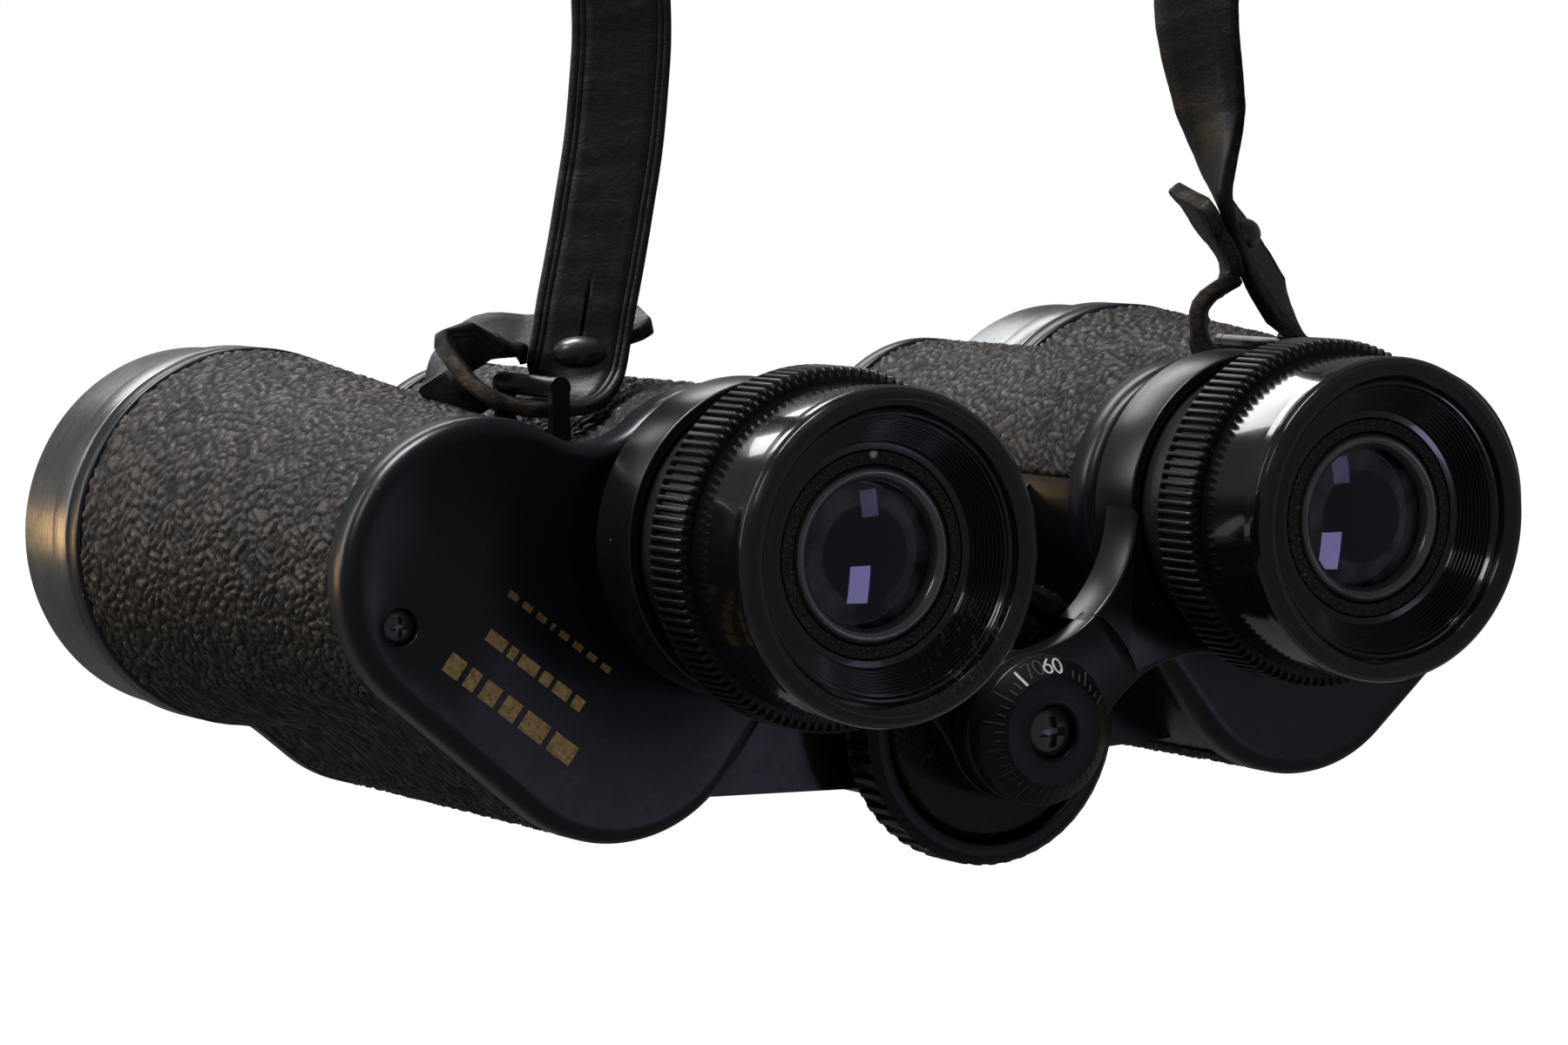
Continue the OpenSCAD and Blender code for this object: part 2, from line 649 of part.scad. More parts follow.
hang() left_prism_housing();
hang() ocular_cover();  // left_ocular_cover
hang() cover_screw();  // left_cover_screw
hang() leatherette();  // left_leatherette
hang() front_cover();  // left_front_cover
hang() objective_ring();  // left_objective_ring
hang() objective_cell();  // left_objective_cell
hang() objective_lens();  // left_objective_lens
hang() objective_lock_ring();  // left_objective_lock_ring
hang() prism_shelf();  // left_prism_shelf
hang() rear_prism();  // left_rear_prism
hang() front_prism();  // left_front_prism
hang() prism_clips();  // left_prism_clips
hang() strap_lug();  // left_strap_lug
hang() left_bridge_arm();
hang() eyepiece_tube();  // left_eyepiece_tube
hang() knurled_ring();  // left_knurled_ring
hang() eyecup();  // left_eyecup
hang() lens_barrel();  // left_lens_barrel
hang() eye_lens();  // left_eye_lens
hang() eye_lens_ring();  // left_eye_lens_ring
hang() field_stop();  // left_field_stop
hang() field_lens();  // left_field_lens
hang() field_lens_ring();  // left_field_lens_ring
hang() right_prism_housing();
hang() other_side() ocular_cover();  // right_ocular_cover
hang() other_side() cover_screw();  // right_cover_screw
hang() other_side() leatherette();  // right_leatherette
hang() other_side() front_cover();  // right_front_cover
hang() other_side() objective_ring();  // right_objective_ring
hang() other_side() objective_cell();  // right_objective_cell
hang() other_side() objective_lens();  // right_objective_lens
hang() other_side() objective_lock_ring();  // right_objective_lock_ring
hang() other_side() prism_shelf();  // right_prism_shelf
hang() other_side() rear_prism();  // right_rear_prism
hang() other_side() front_prism();  // right_front_prism
hang() other_side() prism_clips();  // right_prism_clips
hang() other_side() strap_lug();  // right_strap_lug
hang() right_bridge_arm();
hang() other_side() eyepiece_tube();  // right_eyepiece_tube
hang() other_side() knurled_ring();  // right_knurled_ring
hang() other_side() eyecup();  // right_eyecup
hang() other_side() lens_barrel();  // right_lens_barrel
hang() other_side() eye_lens();  // right_eye_lens
hang() other_side() eye_lens_ring();  // right_eye_lens_ring
hang() other_side() field_stop();  // right_field_stop
hang() other_side() field_lens();  // right_field_lens
hang() other_side() field_lens_ring();  // right_field_lens_ring
hang() hinge_axle();
hang() hinge_end_cap();
hang() focus_spindle();
hang() focus_wheel();
hang() scale_cap();
hang() cap_screw();
hang() left_strap_end();
hang() right_strap_end();
hang() strap_arch();
hang() left_strap_stud();
hang() right_strap_stud();
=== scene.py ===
"""Looks of the binoculars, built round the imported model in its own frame.

Shapes are written in millimetres about the central hinge axis (x = 0, z = 0), with y = 0
at the rim of the eyecups, y growing towards the objectives and z up. place() turns them
into the model's frame in metres. "Left" is the half on -X.
"""

import json
import math

import bmesh
import bpy
import numpy as np
from mathutils import Matrix, Vector, noise


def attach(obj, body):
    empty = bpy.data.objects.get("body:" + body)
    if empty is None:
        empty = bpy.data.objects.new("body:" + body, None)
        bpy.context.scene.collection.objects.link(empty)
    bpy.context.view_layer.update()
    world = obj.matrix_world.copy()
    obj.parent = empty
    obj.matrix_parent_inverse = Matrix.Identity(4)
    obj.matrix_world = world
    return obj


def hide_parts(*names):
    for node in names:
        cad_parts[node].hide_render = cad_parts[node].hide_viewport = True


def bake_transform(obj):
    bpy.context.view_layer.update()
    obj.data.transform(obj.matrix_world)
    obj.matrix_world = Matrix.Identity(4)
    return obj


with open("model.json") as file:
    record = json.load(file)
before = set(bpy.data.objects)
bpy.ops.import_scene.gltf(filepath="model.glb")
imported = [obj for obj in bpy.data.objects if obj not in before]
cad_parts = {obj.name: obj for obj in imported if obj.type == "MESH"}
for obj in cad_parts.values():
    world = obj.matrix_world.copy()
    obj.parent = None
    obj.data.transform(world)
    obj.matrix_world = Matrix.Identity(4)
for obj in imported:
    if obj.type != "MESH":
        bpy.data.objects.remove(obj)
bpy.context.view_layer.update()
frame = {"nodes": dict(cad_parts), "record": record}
SCENE = bpy.context.scene
rng = np.random.default_rng(30)

MM = 0.001
HANG = np.array([0.0, 50.0, 108.0])  # the strap's top, as seen from the hinge axis


def place(points):
    """Points in millimetres about the hinge, in the model's frame in metres."""
    return (np.asarray(points, float) - HANG) * MM


def linked(name, data):
    """A new object of the scene that holds the data."""
    made = bpy.data.objects.new(name, data)
    SCENE.collection.objects.link(made)
    return made


# ---- camera

CAMERA_AT = place([-322.35, -481.64, 76.62])
AZIMUTH, ELEVATION, ROLL = (math.radians(a) for a in (-29.896, 5.063, -1.170))
LENS, SENSOR, CLIP = 124.95, 36, (0.01, 50)


def make_camera():
    level = math.cos(ELEVATION)
    back = Vector((math.sin(AZIMUTH) * level, -math.cos(AZIMUTH) * level, math.sin(ELEVATION)))
    right = Vector((math.cos(AZIMUTH), math.sin(AZIMUTH), 0))
    turn = Matrix.Rotation(ROLL, 4, back)
    axes = Matrix((turn @ right, turn @ back.cross(right), back)).transposed()
    data = bpy.data.cameras.new("camera")
    data.lens, data.sensor_width = LENS, SENSOR
    data.clip_start, data.clip_end = CLIP
    SCENE.camera = linked("camera", data)
    SCENE.camera.matrix_world = Matrix.Translation(Vector(CAMERA_AT)) @ axes.to_4x4()


make_camera()

# ---- materials

MIX_A, MIX_B, MIX_RESULT = 6, 7, 2  # a Mix node's sockets when it mixes colours
LOOKS = {}  # each Look's material, by the Look's name


def rgb(value):
    return (*value, 1)


def scaled(colour, factor):
    return tuple(factor * c for c in colour)


class Look:
    """One procedural material: its tree, its shader and short ways to add nodes."""

    def __init__(self, name, **sockets):
        LOOKS[name] = bpy.data.materials.new(name)
        LOOKS[name].use_nodes = True
        self.tree = LOOKS[name].node_tree
        self.shader = self.tree.nodes["Principled BSDF"]
        for socket, value in sockets.items():
            self.shader.inputs[socket.replace("_", " ")].default_value = value
        self.normal = None

    def node(self, kind, links=None, **settings):
        made = self.tree.nodes.new(kind)
        for key, value in settings.items():
            if key in made.inputs:
                made.inputs[key].default_value = value
            else:
                setattr(made, key, value)
        for key, source in (links or {}).items():
            self.tree.links.new(source, made.inputs[key])
        return made

    def where(self, stretch=(1, 1, 1), uv=False):
        """Coordinates in millimetres, squeezed by stretch; a turned piece's uv is
        (mm round the axis, mm along its profile)."""
        source = self.node("ShaderNodeTexCoord").outputs["UV" if uv else "Object"]
        scale = stretch if uv else tuple(s / MM for s in stretch)
        return self.node("ShaderNodeMapping", {"Vector": source}, Scale=scale).outputs["Vector"]

    def noise(self, size, where=None, detail=4.0, roughness=0.6, distortion=0.0):
        """A noise between 0 and 1 whose lumps are about size millimetres wide."""
        made = self.node("ShaderNodeTexNoise", {"Vector": where or self.where()},
                         Scale=1 / size, Detail=detail, Roughness=roughness,
                         Distortion=distortion)
        return made.outputs["Fac"]

    def cells(self, size, feature="F1"):
        made = self.node("ShaderNodeTexVoronoi", {"Vector": self.where()}, feature=feature,
                         Scale=1 / size)
        return made.outputs["Distance"]

    def ramp(self, value, low, high, start=0.0, end=1.0):
        """value from low to high, mapped to start to end."""
        limits = {"From Min": low, "From Max": high, "To Min": start, "To Max": end}
        return self.node("ShaderNodeMapRange", {"Value": value}, **limits).outputs["Result"]

    def patches(self, size, low=0.3, high=0.7):
        """0 in the lows of a noise and 1 in its highs."""
        return self.ramp(self.noise(size), low, high)

    def near(self, point, radius, soft):
        """1 inside radius of a point, 0 outside, in millimetres about the hinge."""
        at = self.node("ShaderNodeVectorMath", {0: self.where()}, operation="DISTANCE")
        at.inputs[1].default_value = tuple(place(point) / MM)
        return self.ramp(at.outputs["Value"], radius, radius + soft, 1, 0)

    def painted_ring_zone(self):
        """1 on a lens outside the bright field in its middle, by its uv's mm from the axis; this
        is where the lens gets its painted light ring.
        """
        split = self.node("ShaderNodeSeparateXYZ", {"Vector": self.where(uv=True)})
        return self.ramp(split.outputs["Y"], 5.0, 5.4)

    def attribute(self, name):
        return self.node("ShaderNodeAttribute", attribute_name=name).outputs["Fac"]

    def times(self, a, b):
        return self.node("ShaderNodeMath", {0: a, 1: b}, operation="MULTIPLY").outputs["Value"]

    def specks(self, size, share, seed=0.0):
        """1 on small round specks that cover about share of the cells."""
        moved = self.node("ShaderNodeMapping", {"Vector": self.where()},
                          Location=(seed, seed * 1.7, seed * 0.6))
        voronoi = self.node("ShaderNodeTexVoronoi", {"Vector": moved.outputs["Vector"]},
                            Scale=1 / size)
        chosen = self.node("ShaderNodeSeparateColor", {"Color": voronoi.outputs["Color"]})
        picked = self.ramp(chosen.outputs["Red"], 1 - share, 1 - share + 0.01)
        return self.times(picked, self.ramp(voronoi.outputs["Distance"], 0.12, 0.2, 1, 0))

    def colour(self, factor, low, high):
        """Mixes low, a colour or a link, to the colour high by factor."""
        made = self.node("ShaderNodeMix", {"Factor": factor}, data_type="RGBA")
        if isinstance(low, tuple):
            made.inputs[MIX_A].default_value = rgb(low)
        else:
            self.tree.links.new(low, made.inputs[MIX_A])
        made.inputs[MIX_B].default_value = rgb(high)
        return made.outputs[MIX_RESULT]

    def set(self, socket, source):
        self.tree.links.new(source, self.shader.inputs[socket])

    def tone(self, factor, low, high):
        self.set("Base Color", self.colour(factor, low, high))

    def rough(self, value, start, end, low=0.3, high=0.7):
        """Roughness from start to end as value goes from low to high."""
        self.set("Roughness", self.ramp(value, low, high, start, end))

    def bump(self, height, depth, strength=0.6):
        """Adds a bump of depth millimetres on top of those already there."""
        links = {"Height": height}
        if self.normal is not None:
            links["Normal"] = self.normal
        made = self.node("ShaderNodeBump", links, Strength=strength, Distance=depth * MM)
        self.normal = made.outputs["Normal"]
        self.set("Normal", self.normal)


def satin_enamel(name, base, roughness, dust):
    """Sprayed enamel, cloudy and faintly uneven, with some dust."""
    look = Look(name, Specular_IOR_Level=0.55)
    tint = look.colour(look.patches(9), base, scaled(base, 1.7))
    dusty = look.times(look.specks(1.1, dust), look.patches(14, 0.42, 0.6))
    look.tone(dusty, tint, (0.2, 0.19, 0.18))
    look.rough(look.noise(3.2), roughness - 0.03, roughness + 0.03, 0.25, 0.75)
    look.bump(look.noise(0.9, detail=2), 0.03, 0.35)
    look.bump(look.noise(0.35), 0.008, 0.3)


def turned_metal(name, base, metallic, roughness, wear):
    """A lathe-turned finish: fine rings round the axis, cloudy oxide and a few nicks."""
    look = Look(name, Metallic=metallic, Specular_IOR_Level=0.5)
    rings = look.noise(0.09, look.where((0.004, 1, 1), uv=True), detail=3)
    tint = look.colour(look.patches(6), scaled(base, 0.8), scaled(base, 1.25))
    nicks = look.ramp(look.noise(0.8, detail=6, distortion=1.5), 0.64, 0.7)
    look.tone(nicks, tint, tuple(min(1.0, c + wear) for c in base))
    look.rough(rings, roughness - 0.06, roughness + 0.1)
    look.bump(rings, 0.012, 0.35)
    look.bump(look.noise(1.4), 0.02, 0.2)


def leatherette_look():
    """Grained black skin, by the grain's height: warm crowns, partly worn and partly a painted
    sheen, and near-black pits that are painted shade.
    """
    look = Look("leatherette", Specular_IOR_Level=0.5)
    warm = look.colour(look.patches(16, 0.38, 0.62), (0.014, 0.0132, 0.0128),
                       (0.036, 0.028, 0.022))
    top = look.attribute("pebble")
    # The crowns are lightened in patches towards a warm brown: part wear, part a painted sheen.
    crown_wear_and_sheen = look.times(look.ramp(top, 0.45, 1), look.patches(1.1, 0.4, 0.7))
    crown_tone_with_sheen = look.colour(crown_wear_and_sheen, warm, (0.082, 0.068, 0.055))
    # Low grain turns near-black: painted shade in the pits of the grain.
    look.tone(look.ramp(top, 0.2, 0.72, 1, 0), crown_tone_with_sheen, (0.0012, 0.0011, 0.001))
    look.rough(top, 0.85, 0.36, 0.2, 0.9)
    look.bump(look.noise(0.28, detail=5), 0.05, 0.5)
    look.bump(look.cells(0.42, "SMOOTH_F1"), 0.03, 0.35)


def eyecup_look(name, scuff_at):
    """Polished black moulding; the lip is scuffed round one point."""
    look = Look(name, Specular_IOR_Level=0.6, Coat_Weight=0.6, Coat_Roughness=0.04)
    rubbed = look.near(scuff_at, 5.5, 5.0)
    lines = look.noise(0.55, look.where((1, 0.3, 0.22)), detail=7, distortion=2.2)
    scuffs = look.times(rubbed, look.ramp(lines, 0.57, 0.64))
    hair = look.ramp(look.noise(0.5, look.where((0.15, 1, 1)), detail=6), 0.66, 0.7, 0, 0.5)
    tint = look.colour(hair, (0.0035, 0.0035, 0.004), (0.02, 0.02, 0.02))
    look.tone(scuffs, tint, (0.07, 0.066, 0.062))
    look.rough(look.noise(4), 0.12, 0.2)
    look.bump(lines, 0.02, 0.12)
    look.bump(look.noise(2.5), 0.02, 0.15)


def granular_look():
    """Cast, speckled black face with a chip and a few yellow grains."""
    look = Look("granular_black", Specular_IOR_Level=0.5)
    grain = look.noise(0.3, detail=7, roughness=0.8)
    tint = look.colour(look.ramp(grain, 0.5, 0.66), (0.004, 0.004, 0.004), (0.22, 0.21, 0.2))
    tint = look.colour(look.specks(0.8, 0.07, 3.1), tint, (0.55, 0.42, 0.1))
    look.tone(look.near(CHIP, 0.35, 0.15), tint, (0.85, 0.85, 0.82))
    look.rough(grain, 0.3, 0.6)
    look.bump(grain, 0.12, 0.9)


def lens_look(name, tint, painted_ring_light):
    """Coated glass in front of the dark inside of the instrument, with a painted lighter ring
    round its dark middle.
    """
    look = Look(name, Roughness=0.015, IOR=1.6, Specular_IOR_Level=0.7,
                Specular_Tint=rgb(tint))
    shade = look.colour(look.patches(6), (0.002, 0.002, 0.003), (0.004, 0.0035, 0.006))
    # Painted light: from 5.4 mm off the axis outwards, the glass is lightened in patches towards
    # the ring's colour.
    look.tone(look.times(look.painted_ring_zone(), look.patches(7, 0.4, 0.62)), shade, painted_ring_light)
    look.bump(look.noise(11, detail=1), 0.004, 0.2)


def prism_glass_look():
    look = Look("prism_glass", Roughness=0.04, IOR=1.52, Transmission_Weight=0.9)
    look.tone(look.noise(7), (0.8, 0.86, 0.9), (0.9, 0.93, 0.95))


def strap_look():
    """Finished black leather, creased across, with a soft greasy shine."""
    look = Look("strap_leather", Specular_IOR_Level=0.5)
    creases = look.noise(1.7, look.where((0.7, 0.7, 1.5)), detail=7, distortion=1.2)
    tint = look.colour(look.patches(7), (0.005, 0.005, 0.0055), (0.011, 0.0105, 0.0105))
    look.tone(look.ramp(creases, 0.55, 0.75, 0, 0.7), tint, (0.026, 0.0255, 0.025))
    look.rough(creases, 0.36, 0.54)
    look.bump(creases, 0.14, 0.55)
    look.bump(look.cells(0.32), 0.04, 0.4)


def strap_edge_look():
    """The raw cut edge: tan fibres, darkened by handling."""
    look = Look("strap_edge", Roughness=0.85, Specular_IOR_Level=0.25)
    fibres = look.noise(0.5, look.where((0.5, 0.5, 1.6)), detail=7, roughness=0.7)
    tint = look.colour(look.ramp(fibres, 0.35, 0.65), (0.014, 0.011, 0.009),
                       (0.1, 0.078, 0.06))
    look.tone(look.patches(3.5, 0.45, 0.62), tint, (0.012, 0.011, 0.01))
    look.bump(fibres, 0.12, 0.7)


def gloss_black(name, roughness):
    look = Look(name, Specular_IOR_Level=0.6, Coat_Weight=0.5, Coat_Roughness=0.08)
    look.tone(look.patches(2.2, 0.45, 0.7), (0.006, 0.006, 0.007), (0.028, 0.026, 0.026))
    look.rough(look.noise(0.8), roughness, roughness + 0.15)
    look.bump(look.noise(0.7), 0.02, 0.25)


def paint(name, colour, roughness=0.55, metallic=0.0):
    """Thin print or paint, a little worn through."""
    look = Look(name, Metallic=metallic)
    look.tone(look.ramp(look.noise(0.6, detail=6), 0.52, 0.68), colour, scaled(colour, 0.45))
    look.rough(look.noise(0.4), roughness - 0.1, roughness + 0.1)
    look.bump(look.noise(0.3), 0.01, 0.3)


def dusty_disc_look():
    """The recessed face of the focus wheel, with reddish dust."""
    look = Look("wheel_disc", Metallic=0.2, Specular_IOR_Level=0.4)
    dust = look.times(look.ramp(look.noise(0.5, detail=7), 0.5, 0.66),
                      look.patches(5, 0.35, 0.6))
    look.tone(dust, (0.012, 0.012, 0.013), (0.13, 0.075, 0.06))
    look.rough(dust, 0.42, 0.8, 0, 1)
    look.bump(look.noise(0.4), 0.03, 0.4)


def floor_look():
    look = Look("pale_floor", Roughness=0.8, Specular_IOR_Level=0.1, Emission_Strength=1.0,
                Emission_Color=rgb((1, 1, 1)))
    look.tone(look.noise(60), (0.86, 0.86, 0.86), (0.9, 0.9, 0.9))


LEFT_SCUFF = [-22.5, 0.6, 10.6]
NO_SCUFF = [0, -60, 60]
CHIP = [-31.6, 5, 33.4]
satin_enamel("enamel", (0.004, 0.004, 0.0042), 0.3, 0.012)
satin_enamel("gloss_enamel", (0.004, 0.0046, 0.0068), 0.31, 0.02)
turned_metal("gunmetal", (0.22, 0.225, 0.23), 0.9, 0.25, 0.06)
leatherette_look()
turned_metal("black_metal", (0.016, 0.017, 0.019), 0.5, 0.33, 0.05)
turned_metal("satin_collar", (0.05, 0.052, 0.056), 0.7, 0.36, 0.06)
eyecup_look("eyecup_plastic", NO_SCUFF)
eyecup_look("scuffed_eyecup", LEFT_SCUFF)
granular_look()
turned_metal("bead", (0.2, 0.2, 0.21), 0.7, 0.2, 0.05)
lens_look("glass", (0.74, 0.7, 1.0), (0.12, 0.13, 0.14))
lens_look("objective_glass", (0.72, 0.66, 1.0), (0.005, 0.005, 0.009))
prism_glass_look()
turned_metal("steel", (0.42, 0.42, 0.43), 0.95, 0.3, 0.2)
turned_metal("blued_steel", (0.16, 0.16, 0.17), 0.8, 0.28, 0.2)
turned_metal("raw_aluminium", (0.45, 0.45, 0.46), 0.9, 0.4, 0.2)
strap_look()
strap_edge_look()
gloss_black("stud", 0.3)
paint("gold_print", (0.52, 0.36, 0.13), 0.4, 0.7)
paint("white_paint", (0.78, 0.77, 0.72))
paint("dark_paint", (0.07, 0.068, 0.064))
dusty_disc_look()
floor_look()

# ---- mesh helpers


def piece(name, points, faces, look, body, replaces=(), smooth=40, uvs=None):
    """A mesh piece from points in millimetres. It rides on body (None: it is left on no
    body), takes its finish from its look's slot and stands for the CAD nodes in replaces."""
    mesh = bpy.data.meshes.new(name)
    mesh.from_pydata(place(points).tolist(), [], faces)
    if uvs is not None:
        layer = mesh.uv_layers.new(name="UVMap")
        layer.data.foreach_set("uv", np.asarray(uvs, np.float32).ravel())
    mesh.materials.append(LOOKS[look])
    obj = linked(name, mesh)
    clean(mesh)
    mesh.shade_smooth()
    mesh.set_sharp_from_angle(angle=math.radians(smooth))
    if body:
        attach(obj, body)
    if replaces:
        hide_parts(*replaces)
    return obj


def clean(mesh):
    """Joins points that fall together and turns every face outwards."""
    work = bmesh.new()
    work.from_mesh(mesh)
    bmesh.ops.remove_doubles(work, verts=work.verts, dist=1e-6)
    bmesh.ops.dissolve_degenerate(work, edges=work.edges, dist=1e-7)
    bmesh.ops.recalc_face_normals(work, faces=work.faces)
    work.to_mesh(mesh)
    work.free()


def soften(profile, radius, steps=4):
    """A closed profile with its corners rounded."""
    points = [np.array(p, float) for p in profile]
    out = []
    for i, corner in enumerate(points):
        before, after = points[i - 1], points[(i + 1) % len(points)]
        if corner[0] <= 0:
            out.append(corner)
            continue
        reach_a = min(radius, 0.45 * np.linalg.norm(before - corner))
        reach_b = min(radius, 0.45 * np.linalg.norm(after - corner))
        a = corner + reach_a * (before - corner) / np.linalg.norm(before - corner)
        b = corner + reach_b * (after - corner) / np.linalg.norm(after - corner)
        for k in range(steps):
            t = k / (steps - 1)
            out.append((1 - t) ** 2 * a + 2 * t * (1 - t) * corner + t * t * b)
    return np.array(out)


def grid_faces(rings, steps, close_rings=True, close_steps=True):
    """Quads of a grid of rings by steps, closed round in each direction unless told not to."""
    faces = []
    for i in range(rings if close_rings else rings - 1):
        j = (i + 1) % rings
        for k in range(steps if close_steps else steps - 1):
            m = (k + 1) % steps
            faces.append((i * steps + k, i * steps + m, j * steps + m, j * steps + k))
    return faces


def unit(vectors):
    return vectors / np.linalg.norm(vectors, axis=-1, keepdims=True)


def run_along(line):
    """How far each point of a line is from its first, measured along it."""
    return np.concatenate([[0], np.cumsum(np.linalg.norm(np.diff(line, axis=0), axis=1))])


def lathe(name, at, profile, look, body, replaces=(), steps=160, soft=0.18, shape=None,
          smooth=40):
    """A turned piece about the axis at (x, z). shape(r, y, angle) may change the radius
    or the station of a point, for ribs and grain."""
    line = soften(profile, soft) if soft else np.array(profile, float)
    angles = np.arange(steps) * 2 * math.pi / steps
    r = np.repeat(line[:, 0:1], steps, axis=1)
    y = np.repeat(line[:, 1:2], steps, axis=1)
    if shape:
        r, y = shape(r, y, angles[None, :])
    points = np.stack([at[0] + r * np.cos(angles), y, at[1] + r * np.sin(angles)], 2)
    along = run_along(line)
    turn = line[:, 0].max() * 2 * math.pi / steps
    uvs = []
    for low, high in zip(along, [*along[1:], along[-1] + 0.1]):
        for k in range(steps):
            uvs += [(k * turn, low), ((k + 1) * turn, low), ((k + 1) * turn, high),
                    (k * turn, high)]
    return piece(name, points.reshape(-1, 3), grid_faces(len(line), steps), look, body,
                 replaces, smooth, uvs)


def ribs(count, depth, r_min, y0, y1, ramp):
    """A shape for lathe(): count square ribs cut into the rim between y0 and y1."""
    def shape(r, y, angle):
        groove = np.clip((0.25 - np.cos(count * angle)) * 2.2, 0, 1)
        ends = np.clip((y - y0) / ramp, 0, 1) * np.clip((y1 - y) / ramp, 0, 1)
        return r - depth * groove * ends * (r > r_min), y
    return shape


def arc(centre, radius, start, end, count):
    """Points on a circle from one angle to another, in radians."""
    angles = np.linspace(start, end, count)
    return np.stack([centre[0] + radius * np.cos(angles),
                     centre[1] + radius * np.sin(angles)], 1)


def angle_of(vector):
    return math.atan2(vector[1], vector[0])


def after(angle, start):
    """The same angle, counted anticlockwise from start."""
    while angle < start:
        angle += 2 * math.pi
    return angle


def piece_of(work, name, look, body, replaces=()):
    """The piece that a bmesh in the model's frame holds."""
    mesh = bpy.data.meshes.new(name)
    work.to_mesh(mesh)
    work.free()
    points = [np.array(v.co) / MM + HANG for v in mesh.vertices]
    faces = [tuple(p.vertices) for p in mesh.polygons]
    bpy.data.meshes.remove(mesh)
    return piece(name, points, faces, look, body, replaces, 50)


def slab(name, outline, y0, y1, bevel, look, body):
    """A flat plate with the given (x, z) outline and rounded edges."""
    work = bmesh.new()
    verts = [work.verts.new(p) for p in place([(x, y0, z) for x, z in outline])]
    face = work.faces.new(verts)
    made = bmesh.ops.extrude_face_region(work, geom=[face])
    top = [v for v in made["geom"] if isinstance(v, bmesh.types.BMVert)]
    bmesh.ops.translate(work, verts=top, vec=(0, (y1 - y0) * MM, 0))
    rims = [e for e in work.edges
            if len(e.link_faces) == 2 and any(len(f.verts) > 4 for f in e.link_faces)]
    bmesh.ops.bevel(work, geom=rims, offset=bevel * MM, segments=3, profile=0.5,
                    affect="EDGES")
    piece_of(work, name, look, body)


# ---- shared sizes

EYE = np.array([-32.0, 22.8])
OBJ = np.array([-61.0, 20.2])
MID = (EYE + OBJ) / 2 + np.array([EYE[1] - OBJ[1], OBJ[0] - EYE[0]]) / 2
HINGE = np.array([0.0, 0.0])
REAR_LOBE, EYE_LOBE, LOWER_LOBE, WAIST = 17.0, 16.4, 17.3, 9.0
OBJECTIVE_R = 22.1
COVER_FRONT, COVER_REAR, HOUSING_REAR, PLATE_REAR = 36.3, 41.0, 97.0, 100.2
LEATHER, GRAIN_DEPTH, ROLL_DEPTH, ROLL_WIDTH = 0.8, 0.5, 0.28, 0.6
SKIN_STARTS, SKIN_ENDS = 0.2, -1.12  # directions in radians from the eyepiece axis and MID
SKIN_STEP, SKIN_ROW = 0.24, 0.25
SLEEVE_BORE, SLEEVE_R, SLEEVE_REAR = 13.25, 14.7, 48.0
MOUNT_FRONT, HOOD_REAR = 100.25, 115.0
RIBBED_R, RIBBED_FRONT, RIBBED_REAR = 19.5, 11.9, 18.3
TUBE_BORE, TUBE_R = 13.3, 16.0
HUB_R, COLLAR_R, ARM_ROUND, ARM_CLEAR = 8.4, 17.6, 16.0, 13.6
WHEEL_R, WHEEL_BACK = 16.4, 38.6
CAP_FACE_R, CAP_R, CAP_FRONT, CAP_FOOT = 6.1, 8.4, 20.2, 22.2
COVER_SCREW = OBJ + np.array([-10.6, -4.8])
STRAP_WIDTH, STRAP_THICKNESS, STRAP_STEP = 11.0, 1.8, 0.6
SIDES = {"left": 1, "right": -1}


def mirrored(points, side):
    """Left-half points, (x, z) or (x, y, z), on the asked side."""
    points = np.array(points, float)
    points[..., 0] *= SIDES[side]
    return points


def tangent_angle(a, ra, b, rb):
    """The direction, from both centres, of the line along two circles' right side."""
    d = np.linalg.norm(b - a)
    u = (b - a) / d
    s = (ra - rb) / d
    c = math.sqrt(1 - s * s)
    return angle_of(u * s + np.array([u[1], -u[0]]) * c)


def round_centre(a, ra, b, rb, r):
    """Centre of the hollow round of radius r that touches both circles."""
    d = np.linalg.norm(b - a)
    u = (b - a) / d
    da, db = ra + r, rb + r
    along = (da * da - db * db + d * d) / (2 * d)
    return a + u * along + np.array([-u[1], u[0]]) * math.sqrt(da * da - along * along)


def housing_outline(t, step=0.5):
    """The housing's outline on the left half, drawn in by t. The number of points
    depends on step only, so outlines of different t can be joined point by point."""
    ro, re, rm, w = REAR_LOBE - t, EYE_LOBE - t, LOWER_LOBE - t, WAIST + t
    f = round_centre(OBJ, ro, EYE, re, w)
    down = tangent_angle(OBJ, ro, MID, rm)
    along = tangent_angle(MID, rm, EYE, re)
    first, last = angle_of(f - OBJ), angle_of(f - EYE)
    middle, end = after(down, -math.pi), after(along, -math.pi)

    def bend(centre, radius, start, stop, length):
        return arc(centre, radius, start, stop, int(length / step) + 1)[:-1]

    def straight(a, ra, b, rb, turn, length):
        n = np.array([math.cos(turn), math.sin(turn)])
        k = np.linspace(0, 1, int(length / step) + 1)[:-1, None]
        return (a + ra * n) * (1 - k) + (b + rb * n) * k

    return np.concatenate([
        bend(OBJ, ro, first, after(down, first), 58),
        straight(OBJ, ro, MID, rm, down, 5),
        bend(MID, rm, middle, after(along, middle), 24),
        straight(MID, rm, EYE, re, along, 5),
        bend(EYE, re, end, after(last, end), 36),
        bend(f, w, angle_of(EYE - f), angle_of(OBJ - f), 14),
    ])


